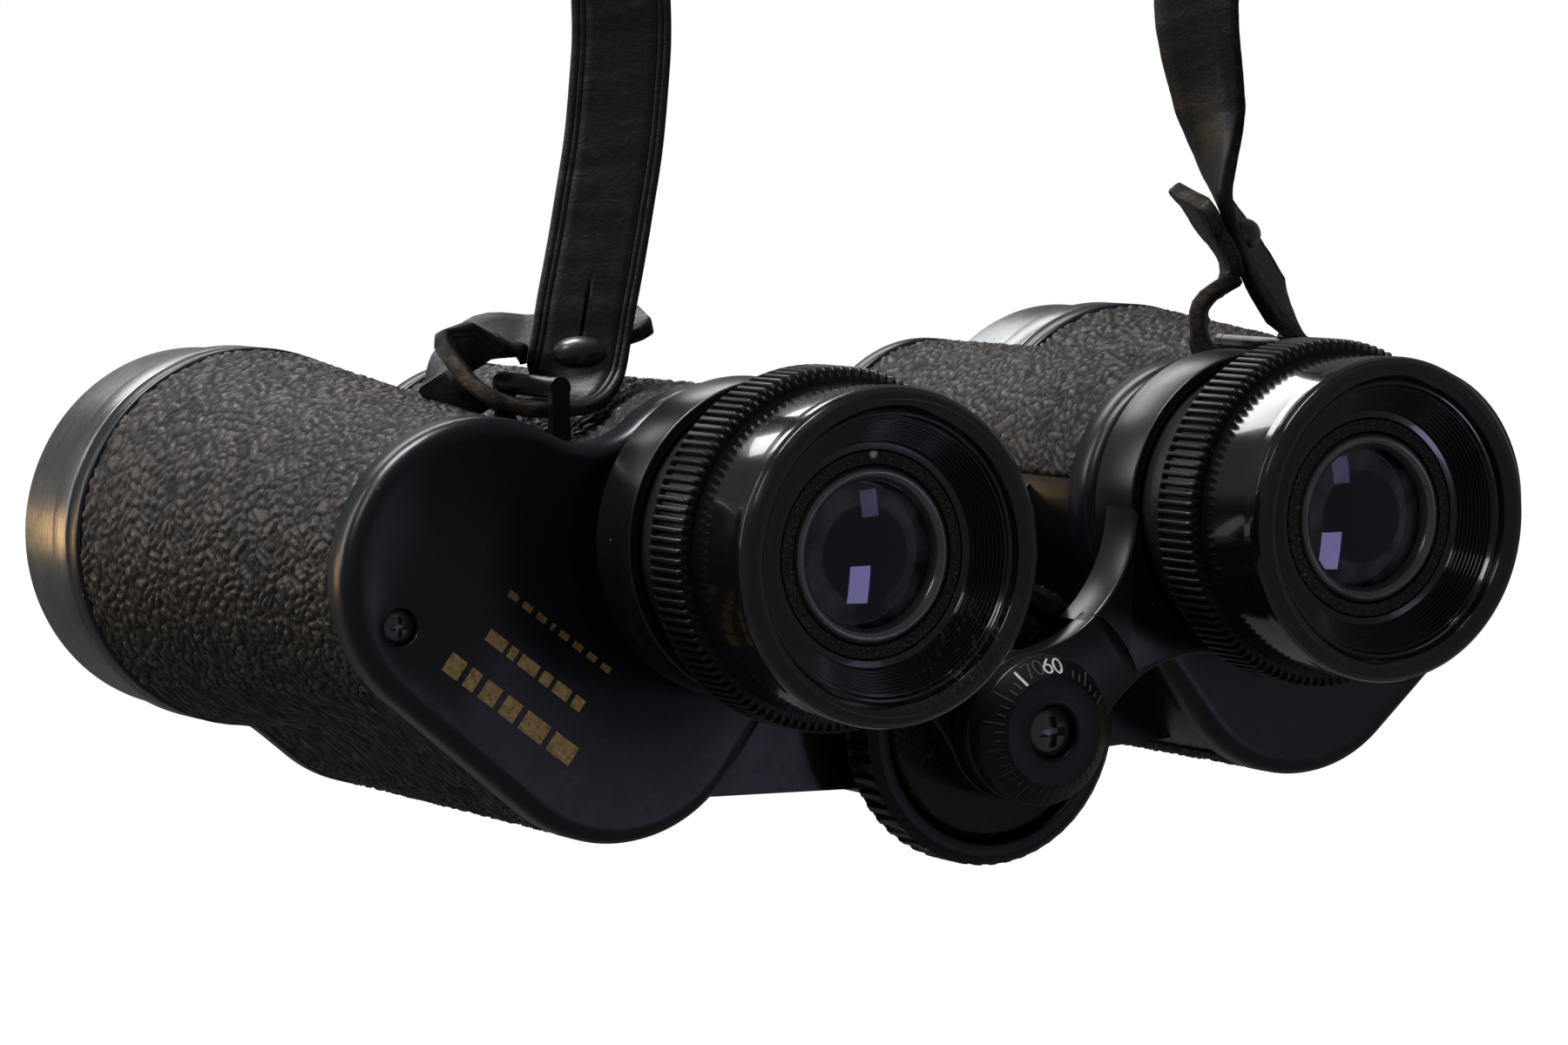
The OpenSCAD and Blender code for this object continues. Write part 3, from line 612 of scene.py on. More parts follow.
def flared(outline, radius):
    """The outline pushed out to a circle round the objective axis, softly at the joins."""
    away = outline - OBJ
    distance = np.linalg.norm(away, axis=1, keepdims=True)
    gap = np.sqrt((distance - radius) ** 2 + 0.35 ** 2)
    reach = (distance + radius + gap) / 2
    near = distance < radius + 3
    return np.where(near, OBJ + away / distance * reach, outline)


def flare_radius(y):
    start = REAR_LOBE - 0.4
    share = (y - COVER_REAR) / (HOUSING_REAR - COVER_REAR)
    return start + (OBJECTIVE_R - start) * share


# ---- strap

LEFT_ROUTE = [
    [[-31.7, 54, 45.8], [0.36, 0.9, 0.14]], [[-35.5, 55.4, 45], [0.4, 0.85, 0.25]],
    [[-39.5, 57.2, 44.3], [0.45, 0.78, 0.3]], [[-43.5, 60, 44], [0.5, 0.76, 0.3]],
    [[-46.6, 60.8, 44], [0.5, 0.74, 0.36]], [[-50.4, 59.2, 42.7], [0.52, 0.8, 0.25]],
    [[-53.2, 56.8, 41.5], [0.45, 0.88, 0.1]], [[-54.5, 54.2, 40.8], [0.35, 0.93, 0.14]],
    [[-53.9, 51.8, 39.1], [0.2, 0.98, 0.14]], [[-52.2, 50.3, 37.8], [0.1, 1, 0.08]],
    [[-49.4, 50, 37], [0, 1, 0]], [[-46, 50, 37.1], [-0.15, 1, 0]],
    [[-43.9, 50, 38.8], [-0.5, 0.86, 0]], [[-42.7, 50, 41.6], [-0.84, 0.55, 0]],
    [[-42, 50, 44.6], [-0.87, 0.5, 0]], [[-41.3, 50, 48], [-0.87, 0.5, 0]],
    [[-40.1, 50, 53], [-0.87, 0.5, 0]], [[-38.8, 50, 59], [-0.87, 0.5, 0]],
    [[-37.4, 50, 66], [-0.87, 0.5, 0]], [[-36.4, 50, 74], [-0.88, 0.5, 0]],
    [[-36.1, 50, 78], [-0.9, 0.5, 0]], [[-36.1, 50, 82], [-0.9, 0.5, 0]],
]
ARCH_ROUTE = [
    [[-36.1, 50, 82], [-0.9, 0.5, 0]], [[-36.1, 50, 87], [-0.9, 0.5, 0]],
    [[-32.6, 50, 95], [-1, 0.6, -0.8]], [[-25, 50, 102], [-0.7, 1, -0.7]],
    [[-15, 50, 106.3], [-0.4, 1, -0.2]], [[0, 50, 108], [0, 1, 0]],
    [[15, 50, 106.8], [0, 1, 0]], [[27, 50, 102.6], [-0.3, 1, 0.2]],
    [[36, 50, 95.6], [-0.45, 0.9, 0.3]], [[40.6, 50, 87], [-0.43, 0.9, 0]],
    [[40.6, 50, 82], [-0.43, 0.9, 0]],
]
RIGHT_ROUTE = [
    [[40.6, 50, 82], [-0.43, 0.9, 0]], [[40.6, 50, 78], [-0.4, 0.9, 0]],
    [[41.3, 50, 73], [-0.3, 0.95, 0]], [[42.3, 50, 67.6], [-0.15, 0.98, -0.05]],
    [[43, 50, 62.5], [0.2, 0.97, -0.07]], [[43.6, 50, 58], [0.5, 0.86, -0.09]],
    [[44.9, 50, 54.8], [0.65, 0.76, -0.08]], [[46.9, 50, 51.4], [0.75, 0.66, -0.07]],
    [[49.2, 50, 47.8], [0.8, 0.6, -0.07]], [[51.4, 50, 44.6], [0.8, 0.6, -0.07]],
    [[53.4, 50, 41.8], [0.6, 0.8, 0]], [[54, 50, 40], [0.35, 0.94, 0]],
    [[52.4, 50, 38], [0.12, 1, 0]], [[49, 50, 37], [0, 1, 0]],
    [[45.4, 50, 37.2], [0.1, 1, 0]], [[42.4, 50, 38.6], [0.35, 0.93, 0]],
    [[40.6, 50, 41], [0.6, 0.8, 0]], [[40.6, 50, 43.8], [0.65, 0.76, 0]],
    [[42.2, 50, 45.6], [0.6, 0.8, 0]], [[44.2, 49.9, 46.9], [0.55, 0.83, 0]],
    [[44.7, 49.8, 48.6], [0.5, 0.86, -0.05]], [[43.7, 49.6, 50.6], [0.5, 0.86, -0.09]],
    [[42.1, 49.4, 52.8], [0.5, 0.84, -0.2]], [[40.2, 49.2, 55.4], [0.55, 0.78, -0.3]],
    [[38.4, 49, 57.6], [0.6, 0.65, -0.5]],
]
LEFT_STUD, LEFT_STUD_FACES = np.array([-42.75, 49.2, 42.8]), (238, 0)
RIGHT_STUD, RIGHT_STUD_FACES = np.array([47.0, 49.2, 52.8]), (-49, 18)


def smooth_route(route, step):
    """The route's points on a Catmull-Rom curve, about step mm apart, and the width
    directions blended between them."""
    points = np.array([p for p, _ in route], float)
    widths = np.array([w for _, w in route], float)
    out_p, out_w = [], []
    for i in range(len(points) - 1):
        ends = [max(i - 1, 0), i, i + 1, min(i + 2, len(points) - 1)]
        count = max(2, round(np.linalg.norm(points[i + 1] - points[i]) / step))
        for k in range(count):
            t = k / count
            weights = 0.5 * np.array([
                -t + 2 * t ** 2 - t ** 3, 2 - 5 * t ** 2 + 3 * t ** 3,
                t + 4 * t ** 2 - 3 * t ** 3, -t ** 2 + t ** 3])
            out_p.append(weights @ points[ends])
            out_w.append((1 - t) * widths[i] + t * widths[i + 1])
    out_p.append(points[-1])
    out_w.append(widths[-1])
    return np.array(out_p), np.array(out_w)


def strap_section():
    """Half of the strap's cross-section, as (across, height, is it the cut edge)."""
    half, thick = STRAP_WIDTH / 2, STRAP_THICKNESS / 2
    outer = [(half, 0.45, 1), (half - 0.12, 0.7, 1), (half - 0.4, thick - 0.03, 0),
             (4.75, thick, 0), (4.6, thick - 0.16, 0), (4.45, thick, 0),
             (4.1, thick, 0), (3.95, thick - 0.16, 0), (3.8, thick, 0), (3, thick, 0),
             (2, thick, 0), (1.2, thick, 0), (0.5, thick, 0), (0.22, thick, 0)]
    middle = [(0, thick, 0)]
    face = outer + middle + [(-a, h, e) for a, h, e in reversed(outer)]
    back = [(a, -h if e else -thick + 0.02, e) for a, h, e in reversed(face)
            if round(abs(a), 2) not in (4.75, 4.6, 4.45, 4.1, 3.95, 3.8, 0.5, 0.22)]
    return np.array(face + back)


def make_strap():
    """One strap along the whole route, creased, with sewn grooves and a slit at the left stud.
    """
    route = LEFT_ROUTE[:-1] + ARCH_ROUTE[:-1] + RIGHT_ROUTE
    centre, width = smooth_route(route, STRAP_STEP)
    tangent = unit(np.gradient(centre, axis=0))
    width = unit(width - tangent * np.sum(tangent * width, axis=1, keepdims=True))
    normal = np.cross(tangent, width)
    section = strap_section()
    to_left_stud = np.linalg.norm(centre - (LEFT_STUD + [0, 0, 4.2]), axis=1)
    slit = np.clip(1.6 - to_left_stud / 3.2, 0, 1)
    tip = np.minimum(np.arange(len(centre)), np.arange(len(centre))[::-1]) * STRAP_STEP
    narrow = 1 - 0.22 * np.clip(1 - tip / 2.4, 0, 1) ** 2
    rings = []
    for i, c in enumerate(centre):
        ring = []
        for across, height, _ in section:
            crease = noise.noise(Vector((c * 0.42).tolist()) + Vector((0, 0, across * 0.09)))
            fold = noise.noise(Vector((c * 1.3).tolist()) + Vector((0, 0, across * 0.35)))
            lift = 0.1 * crease + 0.05 * fold
            cut = 0.55 * slit[i] if abs(across) < 0.1 and height > 0 else 0
            ring.append(c + width[i] * across * narrow[i] + normal[i] * (height + lift - cut))
        rings.append(ring)
    sides = len(section)
    faces = grid_faces(len(centre), sides, close_rings=False)
    faces += [tuple(range(sides)), tuple(len(rings) * sides - 1 - k for k in range(sides))]
    strap = piece("neck_strap", np.array(rings).reshape(-1, 3), faces, "strap_leather", None,
                  ["left_strap_end", "strap_arch", "right_strap_end"], 60)
    strap.data.materials.append(LOOKS["strap_edge"])
    mark_cut_edges(strap.data, centre, width)
    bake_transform(strap)


def mark_cut_edges(mesh, centre, width):
    """Gives the faces on the strap's cut sides and tips the raw-edge material."""
    ends = place([centre[0], centre[-1]])
    where = place(centre)
    for polygon in mesh.polygons:
        spot = np.array(polygon.center)
        i = int(np.argmin(np.sum((where - spot) ** 2, axis=1)))
        across = abs((spot - where[i]) @ width[i]) / MM
        tip = min(np.linalg.norm(spot - e) for e in ends) < 1.0 * MM
        sideways = abs(np.array(polygon.normal) @ width[i]) > 0.75
        if (across > STRAP_WIDTH / 2 - 0.6 and sideways) or (tip and len(polygon.vertices) > 4):
            polygon.material_index = 1


def make_stud(side, at, azimuth, rise):
    """An oval, domed collar stud: its head lies on the strap and faces azimuth and rise,
    in degrees."""
    azimuth, rise = math.radians(azimuth), math.radians(rise)
    level = math.cos(rise)
    axis = np.array([math.cos(azimuth) * level, math.sin(azimuth) * level, math.sin(rise)])
    wide = np.array([-math.sin(azimuth), math.cos(azimuth), 0])
    high = np.cross(axis, wide)
    dome = [(0, 1.3), (0.8, 1.26), (1.6, 1.1), (2.3, 0.8), (2.8, 0.4), (3.0, 0.1), (2.7, -0.1),
            (1.0, -0.1), (0.9, -1.2), (0, -1.2)]
    flatness, steps = 0.6, 48
    turns = [2 * math.pi * k / steps for k in range(steps)]
    points = [at + axis * h + wide * r * math.cos(t) + high * flatness * r * math.sin(t)
              for r, h in dome for t in turns]
    faces = grid_faces(len(dome), steps, close_rings=False)
    piece(f"{side}_collar_stud", points, faces, "stud", f"{side}_half",
          [f"{side}_strap_stud"], 50)


make_strap()
make_stud("left", LEFT_STUD, *LEFT_STUD_FACES)
make_stud("right", RIGHT_STUD, *RIGHT_STUD_FACES)

# ---- prism housings


def pebbles(s, y, size):
    """Height from 0 in the pits to 1 on the crowns of an irregular pebble grain, for
    points at s round the body and y along it, both 2-D arrays in millimetres."""
    rows, columns = int(s.max() / size) + 5, int(np.ptp(y) / size) + 5
    jitter = rng.random((rows, columns, 2))
    i = np.floor(s / size).astype(int) + 2
    j = np.floor((y - y.min()) / size).astype(int) + 2
    nearest = np.full(s.shape, 9.0)
    second = np.full(s.shape, 9.0)
    for di in (-1, 0, 1):
        for dj in (-1, 0, 1):
            a = np.clip(i + di, 0, rows - 1)
            b = np.clip(j + dj, 0, columns - 1)
            du = (a - 2 + jitter[a, b, 0]) - s / size
            dv = (b - 2 + jitter[a, b, 1]) - (y - y.min()) / size
            d = np.sqrt(du * du + dv * dv)
            second = np.minimum(second, np.maximum(nearest, d))
            nearest = np.minimum(nearest, d)
    return np.clip((second - nearest) * 1.7, 0, 1) ** 0.7


def skin_edges(step):
    """The skin's outside and its glued side, from one of its edges next to the hinge round
    to the other."""
    outer = housing_outline(0, step)
    start = EYE + EYE_LOBE * np.array([math.cos(SKIN_STARTS), math.sin(SKIN_STARTS)])
    finish = MID + LOWER_LOBE * np.array([math.cos(SKIN_ENDS), math.sin(SKIN_ENDS)])
    first, last = (int(np.argmin(np.linalg.norm(outer - p, axis=1))) for p in (start, finish))
    order = np.arange(first, last + 1 + (len(outer) if last < first else 0)) % len(outer)
    return outer[order], housing_outline(LEATHER, step)[order]


def grain_height(s, y):
    """The skin's grain from 0 to 1: wandering pebbles with finer ones over them."""
    bend = 0.7 * np.sin(y * 0.75 + 1.3 * np.sin(s * 0.5))
    sway = 0.5 * np.sin(s * 1.1 + 1.1 * np.sin(y * 0.6))
    coarse = pebbles(s + bend + 2, y * 0.72 + sway, 1.3)
    fine = pebbles(s + 3 + 0.3 * np.sin(y * 2.3), y, 0.8)
    return np.clip(0.72 * coarse + 0.45 * fine - 0.12, 0, 1)


def leather_skin(side):
    """The grained skin: a sheet round the housing, open next to the hinge."""
    outer, inner = skin_edges(SKIN_STEP)
    stations = np.arange(COVER_REAR + 0.1, HOUSING_REAR - 0.1 + 1e-6, SKIN_ROW)
    s, y = np.meshgrid(run_along(outer), stations, indexing="ij")
    height = grain_height(s, y)
    edge = np.minimum(np.minimum(s, s.max() - s),
                      np.minimum(y - stations[0], stations[-1] - y))
    depth = GRAIN_DEPTH * (1 - height) + ROLL_DEPTH * np.clip(1 - edge / ROLL_WIDTH, 0, 1) ** 2
    outside = np.zeros((*s.shape, 3))
    for j, station in enumerate(stations):
        line = flared(outer, flare_radius(station))
        along = unit(np.gradient(line, axis=0))
        outward = np.stack([along[:, 1], -along[:, 0]], 1)
        outside[:, j, ::2] = line - outward * depth[:, j:j + 1]
        outside[:, j, 1] = station
    hem, hem_faces = skin_hem(outside, inner, stations)
    points = np.concatenate([outside.reshape(-1, 3), hem])
    faces = grid_faces(*s.shape, close_rings=False, close_steps=False) + hem_faces
    skin = piece(f"{side}_leather_skin", mirrored(points, side), faces, "leatherette",
                 f"{side}_half", [f"{side}_leatherette"], 180)
    attribute = skin.data.attributes.new("pebble", "FLOAT", "POINT")
    attribute.data.foreach_set("value", np.concatenate(
        [height.ravel(), np.zeros(len(hem))]).astype(np.float32))


def skin_hem(outside, inner, stations):
    """The skin's cut edge, folded in to the metal all the way round."""
    count_s, count_y = outside.shape[:2]
    tops = ([(i, 0) for i in range(count_s)] + [(count_s - 1, j) for j in range(1, count_y)]
            + [(i, count_y - 1) for i in range(count_s - 2, -1, -1)]
            + [(0, j) for j in range(count_y - 2, 0, -1)])
    hem = []
    for i, j in tops:
        line = flared(inner[i:i + 1], flare_radius(stations[j]) - LEATHER)[0]
        hem.append([line[0], stations[j], line[1]])
    offset = count_s * count_y
    faces = []
    for k, (i, j) in enumerate(tops):
        m = (k + 1) % len(tops)
        faces.append((i * count_y + j, tops[m][0] * count_y + tops[m][1], offset + m,
                      offset + k))
    return np.array(hem), faces


def plate_rings(profile, shape):
    """Outlines stacked along y from (inset, y) pairs, as one array of rings."""
    return np.array([[(x, y, z) for x, z in shape(t)] for t, y in profile])


def fill_between(work, loops):
    """Fills the flat area between an outer loop and the holes in it."""
    edges = []
    for loop in loops:
        for k in range(len(loop)):
            pair = (loop[k], loop[(k + 1) % len(loop)])
            edges.append(work.edges.get(pair) or work.edges.new(pair))
    bmesh.ops.triangle_fill(work, use_beauty=True, use_dissolve=False, edges=edges)


def ring_points(centre, radius, y, count=96):
    return [(x, y, z) for x, z in arc(centre, radius, 0, 2 * math.pi, count + 1)[:-1]]


def plate_piece(name, side, rings, holes, replaces):
    """A plate of glossy enamel from stacked outlines, with round holes in its first face.
    Each hole is (centre, radius, [(station, how much wider it is there)], blind); one that
    isn't blind comes out through the last face."""
    work = bmesh.new()
    stacks = [[work.verts.new(p) for p in place(mirrored(ring, side))] for ring in rings]
    count = len(stacks[0])
    for a, b in zip(stacks, stacks[1:]):
        for k in range(count):
            m = (k + 1) % count
            work.faces.new((a[k], a[m], b[m], b[k]))
    front, rear = [stacks[0]], [stacks[-1]]
    for centre, radius, stations, blind in holes:
        loops = []
        for y, grow in stations:
            circle = ring_points(centre, radius + grow, y)
            loops.append([work.verts.new(p) for p in place(mirrored(circle, side))])
        for a, b in zip(loops, loops[1:]):
            for k in range(len(a)):
                m = (k + 1) % len(a)
                work.faces.new((a[k], b[k], b[m], a[m]))
        front.append(loops[0])
        if blind:
            work.faces.new(loops[-1])
        else:
            rear.append(loops[-1])
    fill_between(work, front)
    fill_between(work, rear)
    piece_of(work, name, "gloss_enamel", f"{side}_half", replaces)


def ocular_plate(side):
    """The rear plate with its rounded shoulder, its eyepiece bore and the screw's recess,
    and the guide sleeve behind it."""
    y = COVER_FRONT
    profile = [(2.3, y), (1.9, y), (1.35, y + 0.05), (0.85, y + 0.22), (0.42, y + 0.55),
               (0.14, y + 1.0), (0, y + 1.6), (0, COVER_REAR - 0.25), (0.25, COVER_REAR)]
    holes = [(EYE, 13.3, [(y, 0.4), (y + 0.1, 0.1), (y + 0.4, 0), (COVER_REAR, 0)], False),
             (COVER_SCREW, 2.0, [(y, 0.25), (y + 0.08, 0.08), (y + 0.25, 0), (y + 1.75, 0)],
              True)]
    plate_piece(f"{side}_rear_plate", side, plate_rings(profile, housing_outline), holes,
                [f"{side}_ocular_cover"])
    lathe(f"{side}_guide_sleeve", mirrored(EYE, side),
          [(SLEEVE_BORE, COVER_REAR - 1), (SLEEVE_R, COVER_REAR - 1), (SLEEVE_R, SLEEVE_REAR),
           (SLEEVE_BORE, SLEEVE_REAR)], "black_metal", f"{side}_half", steps=96)


def front_plate(side):
    """The plate that closes the housing at the objective end."""
    y0, y1 = HOUSING_REAR, PLATE_REAR

    def shape(t):
        return flared(housing_outline(t), OBJECTIVE_R - t)

    profile = [(1.2, y0), (0.4, y0), (0.1, y0 + 0.15), (0, y0 + 0.45), (0, y1 - 0.6),
               (0.15, y1 - 0.2), (0.55, y1), (1.4, y1)]
    plate_piece(f"{side}_front_plate", side, plate_rings(profile, shape),
                [(OBJ, 16.0, [(y0, 0), (y1, 0)], False)], [f"{side}_front_cover"])


def share_in(value, soft):
    """0 below zero, 1 above soft and a slope between."""
    return min(max(value / soft, 0), 1)


def cross_screw(name, at, y, head_r, crown, body, replaces, shank):
    """A round screw head with a cross recess; y is the station of its crown."""
    steps, rows, turned = 120, 30, 0.4
    arm, cut_r, cut_depth = 0.16 * head_r, 0.62 * head_r, 0.28 * head_r
    turns = [2 * math.pi * k / steps + turned for k in range(steps)]
    points = []
    for i in range(rows + 1):
        r = head_r * i / rows
        top = y + crown * (r / head_r) ** 2.4
        for turn in turns:
            x, z = r * math.cos(turn), r * math.sin(turn)
            cut = share_in(arm - min(abs(x), abs(z)), 0.07) * share_in(cut_r - r, 0.1)
            points.append((at[0] + x, top + cut_depth * cut, at[1] + z))
    for r, depth in ((head_r, 0.5), (shank, 0.5), (shank, 2.0), (0, 2.0)):
        points += [(at[0] + r * math.cos(turn), y + crown + depth, at[1] + r * math.sin(turn))
                   for turn in turns]
    faces = grid_faces(rows + 5, steps, close_rings=False)
    piece(name, points, faces, "blued_steel", body, replaces, 35)


BOX_FACES = ((0, 1, 2, 3), (7, 6, 5, 4), (0, 4, 5, 1), (1, 5, 6, 2), (2, 6, 7, 3), (3, 7, 4, 0))


def gold_marks(side):
    """Three slanted rows of plain gold bars, a neutral stand-in for the maker's print."""
    slant = math.radians(-38)
    along = np.array([math.cos(slant), math.sin(slant)])
    across = np.array([-along[1], along[0]])
    # Each row: its place across, its height, the gap between bars and their lengths.
    rows = [(-5.0, 2.3, 0.8, (2.2, 1.5, 2.2, 2.2, 3.4, 3.4)),
            (0, 1.4, 0.6, (2.6, 1.0, 2.6, 1.4, 2.2, 1.4)),
            (5.0, 0.75, 0.8, (1.3, 1.3, 1.3, 0.5, 1.3, 1.3, 1.3, 1.3))]
    centre = np.array([-55.8, 9.6])
    points, faces = [], []
    for offset, tall, gap, bars in rows:
        run = -(sum(bars) + gap * (len(bars) - 1)) / 2
        for bar in bars:
            faces += [tuple(len(points) + k for k in face) for face in BOX_FACES]
            for lift in (-0.035, 0.02):
                for a, b in ((run, -1), (run + bar, -1), (run + bar, 1), (run, 1)):
                    x, z = centre + along * a + across * (b * tall / 2 + offset)
                    points.append((x, COVER_FRONT + lift, z))
            run += bar + gap
    piece(f"{side}_gold_marks", mirrored(points, side), faces, "gold_print", f"{side}_half",
          (), 30)


def lens_face(radius, y, crown):
    """Half a lens's face from its axis to its rim at y; crown is how far its middle is off."""
    return [(radius * k / 12, y + crown * (1 - (k / 12) ** 2)) for k in range(13)]


def objective(side):
    """The turned objective ring with its hood, and the lens in it."""
    at, body = mirrored(OBJ, side), f"{side}_half"
    r, front, rear = OBJECTIVE_R, MOUNT_FRONT, HOOD_REAR
    lathe(f"{side}_objective_mount", at,
          [(17.6, front), (r, front), (r, 104.6), (r - 0.55, 105.0), (r - 0.6, 105.4),
           (r - 0.6, rear - 0.7), (r - 1.1, rear), (r - 2, rear), (r - 2.8, rear - 0.8),
           (19.3, 110), (19, 110), (19, 102.6), (17.6, 102.6)],
          "gunmetal", body, [f"{side}_objective_ring"], steps=220, soft=0.35)
    lens = lens_face(16.4, 104.2, -0.6) + lens_face(16.4, 107.6, 1.2)[::-1]
    lathe(f"{side}_front_lens", at, lens, "objective_glass", body,
          [f"{side}_objective_lens"], steps=128, soft=0)


for side in SIDES:
    leather_skin(side)
    ocular_plate(side)
    front_plate(side)
    objective(side)
    cross_screw(f"{side}_plate_screw", mirrored(COVER_SCREW, side), COVER_FRONT + 0.45, 1.8,
                0.45, f"{side}_half", [f"{side}_cover_screw"], 1.0)

gold_marks("left")

# ---- eyepieces


def inner_cone():
    """Fine steps down the eyecup's cone."""
    steps = 9
    points = [(15.15, 1.6), (14.9, 1.62), (14.7, 2.0)]
    for k in range(steps):
        r = 14.6 - 2.7 * k / steps
        y = 2.15 + 2.75 * k / steps
        points += [(r, y), (r - 0.19, y - 0.1), (r - 0.24, y + 0.2)]
    return points + [(11.85, 4.95)]


def eyecup(side, body):
    look = "scuffed_eyecup" if side == "left" else "eyecup_plastic"
    lip = [(17.9, 11.75), (17.9, 3.4), (17.98, 2.2), (17.98, 1.5), (17.8, 0.8), (17.3, 0.25),
           (16.6, 0.02), (16.0, 0.25), (15.5, 0.8), (15.2, 1.45)]
    back = [(11.1, 5.0), (11.1, 7.15), (13.15, 7.15), (13.15, 11.75)]
    lathe(f"{side}_eye_shell", mirrored(EYE, side), lip + inner_cone() + back, look, body,
          [f"{side}_eyecup"], steps=220, soft=0.04, smooth=35)


def grainy(r, y, angle):
    """Small lumps on the barrel's front face."""
    lumps = np.zeros(r.shape)
    for i, k in zip(*np.nonzero((y < 5.3) & (r > 9.7) & (r < 11))):
        across = r[i, k] * 1.8
        spot = Vector((across * math.cos(angle[0, k]), across * math.sin(angle[0, k]), 3.0))
        lumps[i, k] = 0.12 * abs(noise.noise(spot * 1.6))
    return r, y + lumps


def eyepiece(side, barrel_body, head_body):
    at, r, front, rear = mirrored(EYE, side), RIBBED_R, RIBBED_FRONT, RIBBED_REAR
    eyecup(side, head_body)
    lathe(f"{side}_ribbed_ring", at,
          [(12.0, front), (r - 0.4, front), (r, front + 0.4), (r, rear - 0.4),
           (r - 0.4, rear), (12.0, rear)],
          "black_metal", head_body, [f"{side}_knurled_ring"], steps=1008, soft=0.12,
          shape=ribs(112, 0.7, r - 1.1, front - 0.9, rear - 0.4, 0.15), smooth=30)
    lathe(f"{side}_satin_sleeve", at,
          [(TUBE_BORE, 18.2), (TUBE_R, 18.2), (TUBE_R, 27), (TUBE_BORE, 27)],
          "satin_collar", head_body, steps=128, soft=0.25)
    face = [(9.6 + 1.3 * k / 6, 5.0) for k in range(7)]
    lathe(f"{side}_inner_barrel", at,
          face + [(10.9, 7.35), (11.8, 7.4), (11.8, 31), (10.7, 31), (10.7, 21), (10, 21),
                  (10, 11.2), (8.8, 11.2), (8.8, 10.2), (9.6, 10.2)],
          "granular_black", barrel_body, [f"{side}_lens_barrel"], steps=260, soft=0,
          shape=grainy, smooth=60)
    lathe(f"{side}_bead_ring", at,
          [(7.8, 5.6), (8.0, 5.05), (8.4, 4.7), (8.8, 4.6), (9.2, 4.8), (9.45, 5.3), (9.45, 6.8),
           (8.4, 6.8), (7.8, 6.4)],
          "bead", barrel_body, [f"{side}_eye_lens_ring"], soft=0.25)
    lens = lens_face(9.5, 7.1, -0.9) + [(9.5, 10.0), (4.75, 10.0), (0, 10.0)]
    lathe(f"{side}_rear_lens", at, lens, "glass", barrel_body, [f"{side}_eye_lens"],
          steps=128, soft=0)


eyepiece("left", "dioptre_barrel", "dioptre_head")
eyepiece("right", "right_bridge", "right_bridge")

# ---- bridge


def arc_between(centre, a, b, radius, count, long_way=False):
    """Points on a circle from the direction of a to that of b, the short way round
    unless long_way is set."""
    start, end = angle_of(a - centre), angle_of(b - centre)
    turn = (end - start + math.pi) % (2 * math.pi) - math.pi
    if long_way:
        turn -= math.copysign(2 * math.pi, turn)
    return arc(centre, radius, start, start + turn, count)


def arm_edges():
    """The two hollow edges of an arm, each from the hub to the collar, on the left."""
    upper = round_centre(EYE, COLLAR_R, HINGE, HUB_R, ARM_ROUND)
    u = unit(EYE - HINGE)
    lower = 2 * u * (upper @ u) - upper
    return [arc_between(f, HINGE, EYE, ARM_ROUND, 40) for f in (upper, lower)]


def bridge_arm(side, hub_front, hub_rear):
    """Collar, web and hub of one arm; the two hubs lie on one another on the spindle."""
    body, clear, root_r = f"{side}_bridge", ARM_CLEAR, ARM_CLEAR + 1.6
    one, two = arm_edges()
    far = [e[np.linalg.norm(e, axis=1) > clear] for e in (one, two)]
    collar_end = arc_between(EYE, far[0][-1], far[1][-1], COLLAR_R - 0.6, 16)[1:-1]
    hub_end = arc_between(HINGE, far[1][0], far[0][0], clear, 12)[1:-1]
    web = np.concatenate([far[0], collar_end, far[1][::-1], hub_end])
    slab(f"{side}_arm_web", mirrored(web, side), 24.95, 31.35, 0.45, "enamel", body)
    near = [e[np.linalg.norm(e, axis=1) < root_r] for e in (one, two)]
    root = arc_between(HINGE, near[0][-1], near[1][-1], root_r, 10)[1:-1]
    round_end = arc_between(HINGE, near[1][0], near[0][0], HUB_R, 40, long_way=True)[1:-1]
    hub = np.concatenate([near[0], root, near[1][::-1], round_end])
    slab(f"{side}_arm_hub", mirrored(hub, side), hub_front + 0.02, hub_rear - 0.02, 0.3,
         "enamel", body)
    seat_r = COLLAR_R - 1.2
    lathe(f"{side}_arm_collar", mirrored(EYE, side),
          [(seat_r, 26), (COLLAR_R, 26), (COLLAR_R, 33.5), (TUBE_BORE, 33.5),
           (TUBE_BORE, 29.4), (seat_r, 29.4)],
          "enamel", body, [f"{side}_bridge_arm"], steps=180, soft=0.3)


bridge_arm("left", 28.3, 31.4)
bridge_arm("right", 24.7, 28.1)

# ---- wheel and scale cap


def focus_wheel():
    r, back = WHEEL_R, WHEEL_BACK
    lathe("wheel_rim", HINGE,
          [(13.6, 33.9), (13.9, 32.4), (r - 1, 32.4), (r, 33.3), (r, back - 0.6),
           (r - 0.6, back), (9.5, back), (9.5, back + 2.1), (6.1, back + 2.1), (6.1, 34.4),
           (13.4, 34.4)],
          "black_metal", "focus_wheel", ["focus_wheel"], steps=640, soft=0.2,
          shape=ribs(52, 0.7, r - 0.7, 33.2, back - 0.4, 0.4), smooth=30)
    lathe("wheel_disc", HINGE,
          [(4.25, 32.9), (8, 32.9), (12.7, 32.9), (13.1, 33.4), (13.2, 34.2), (4.25, 34.3)],
          "wheel_disc", "focus_wheel", steps=120, soft=0.2)


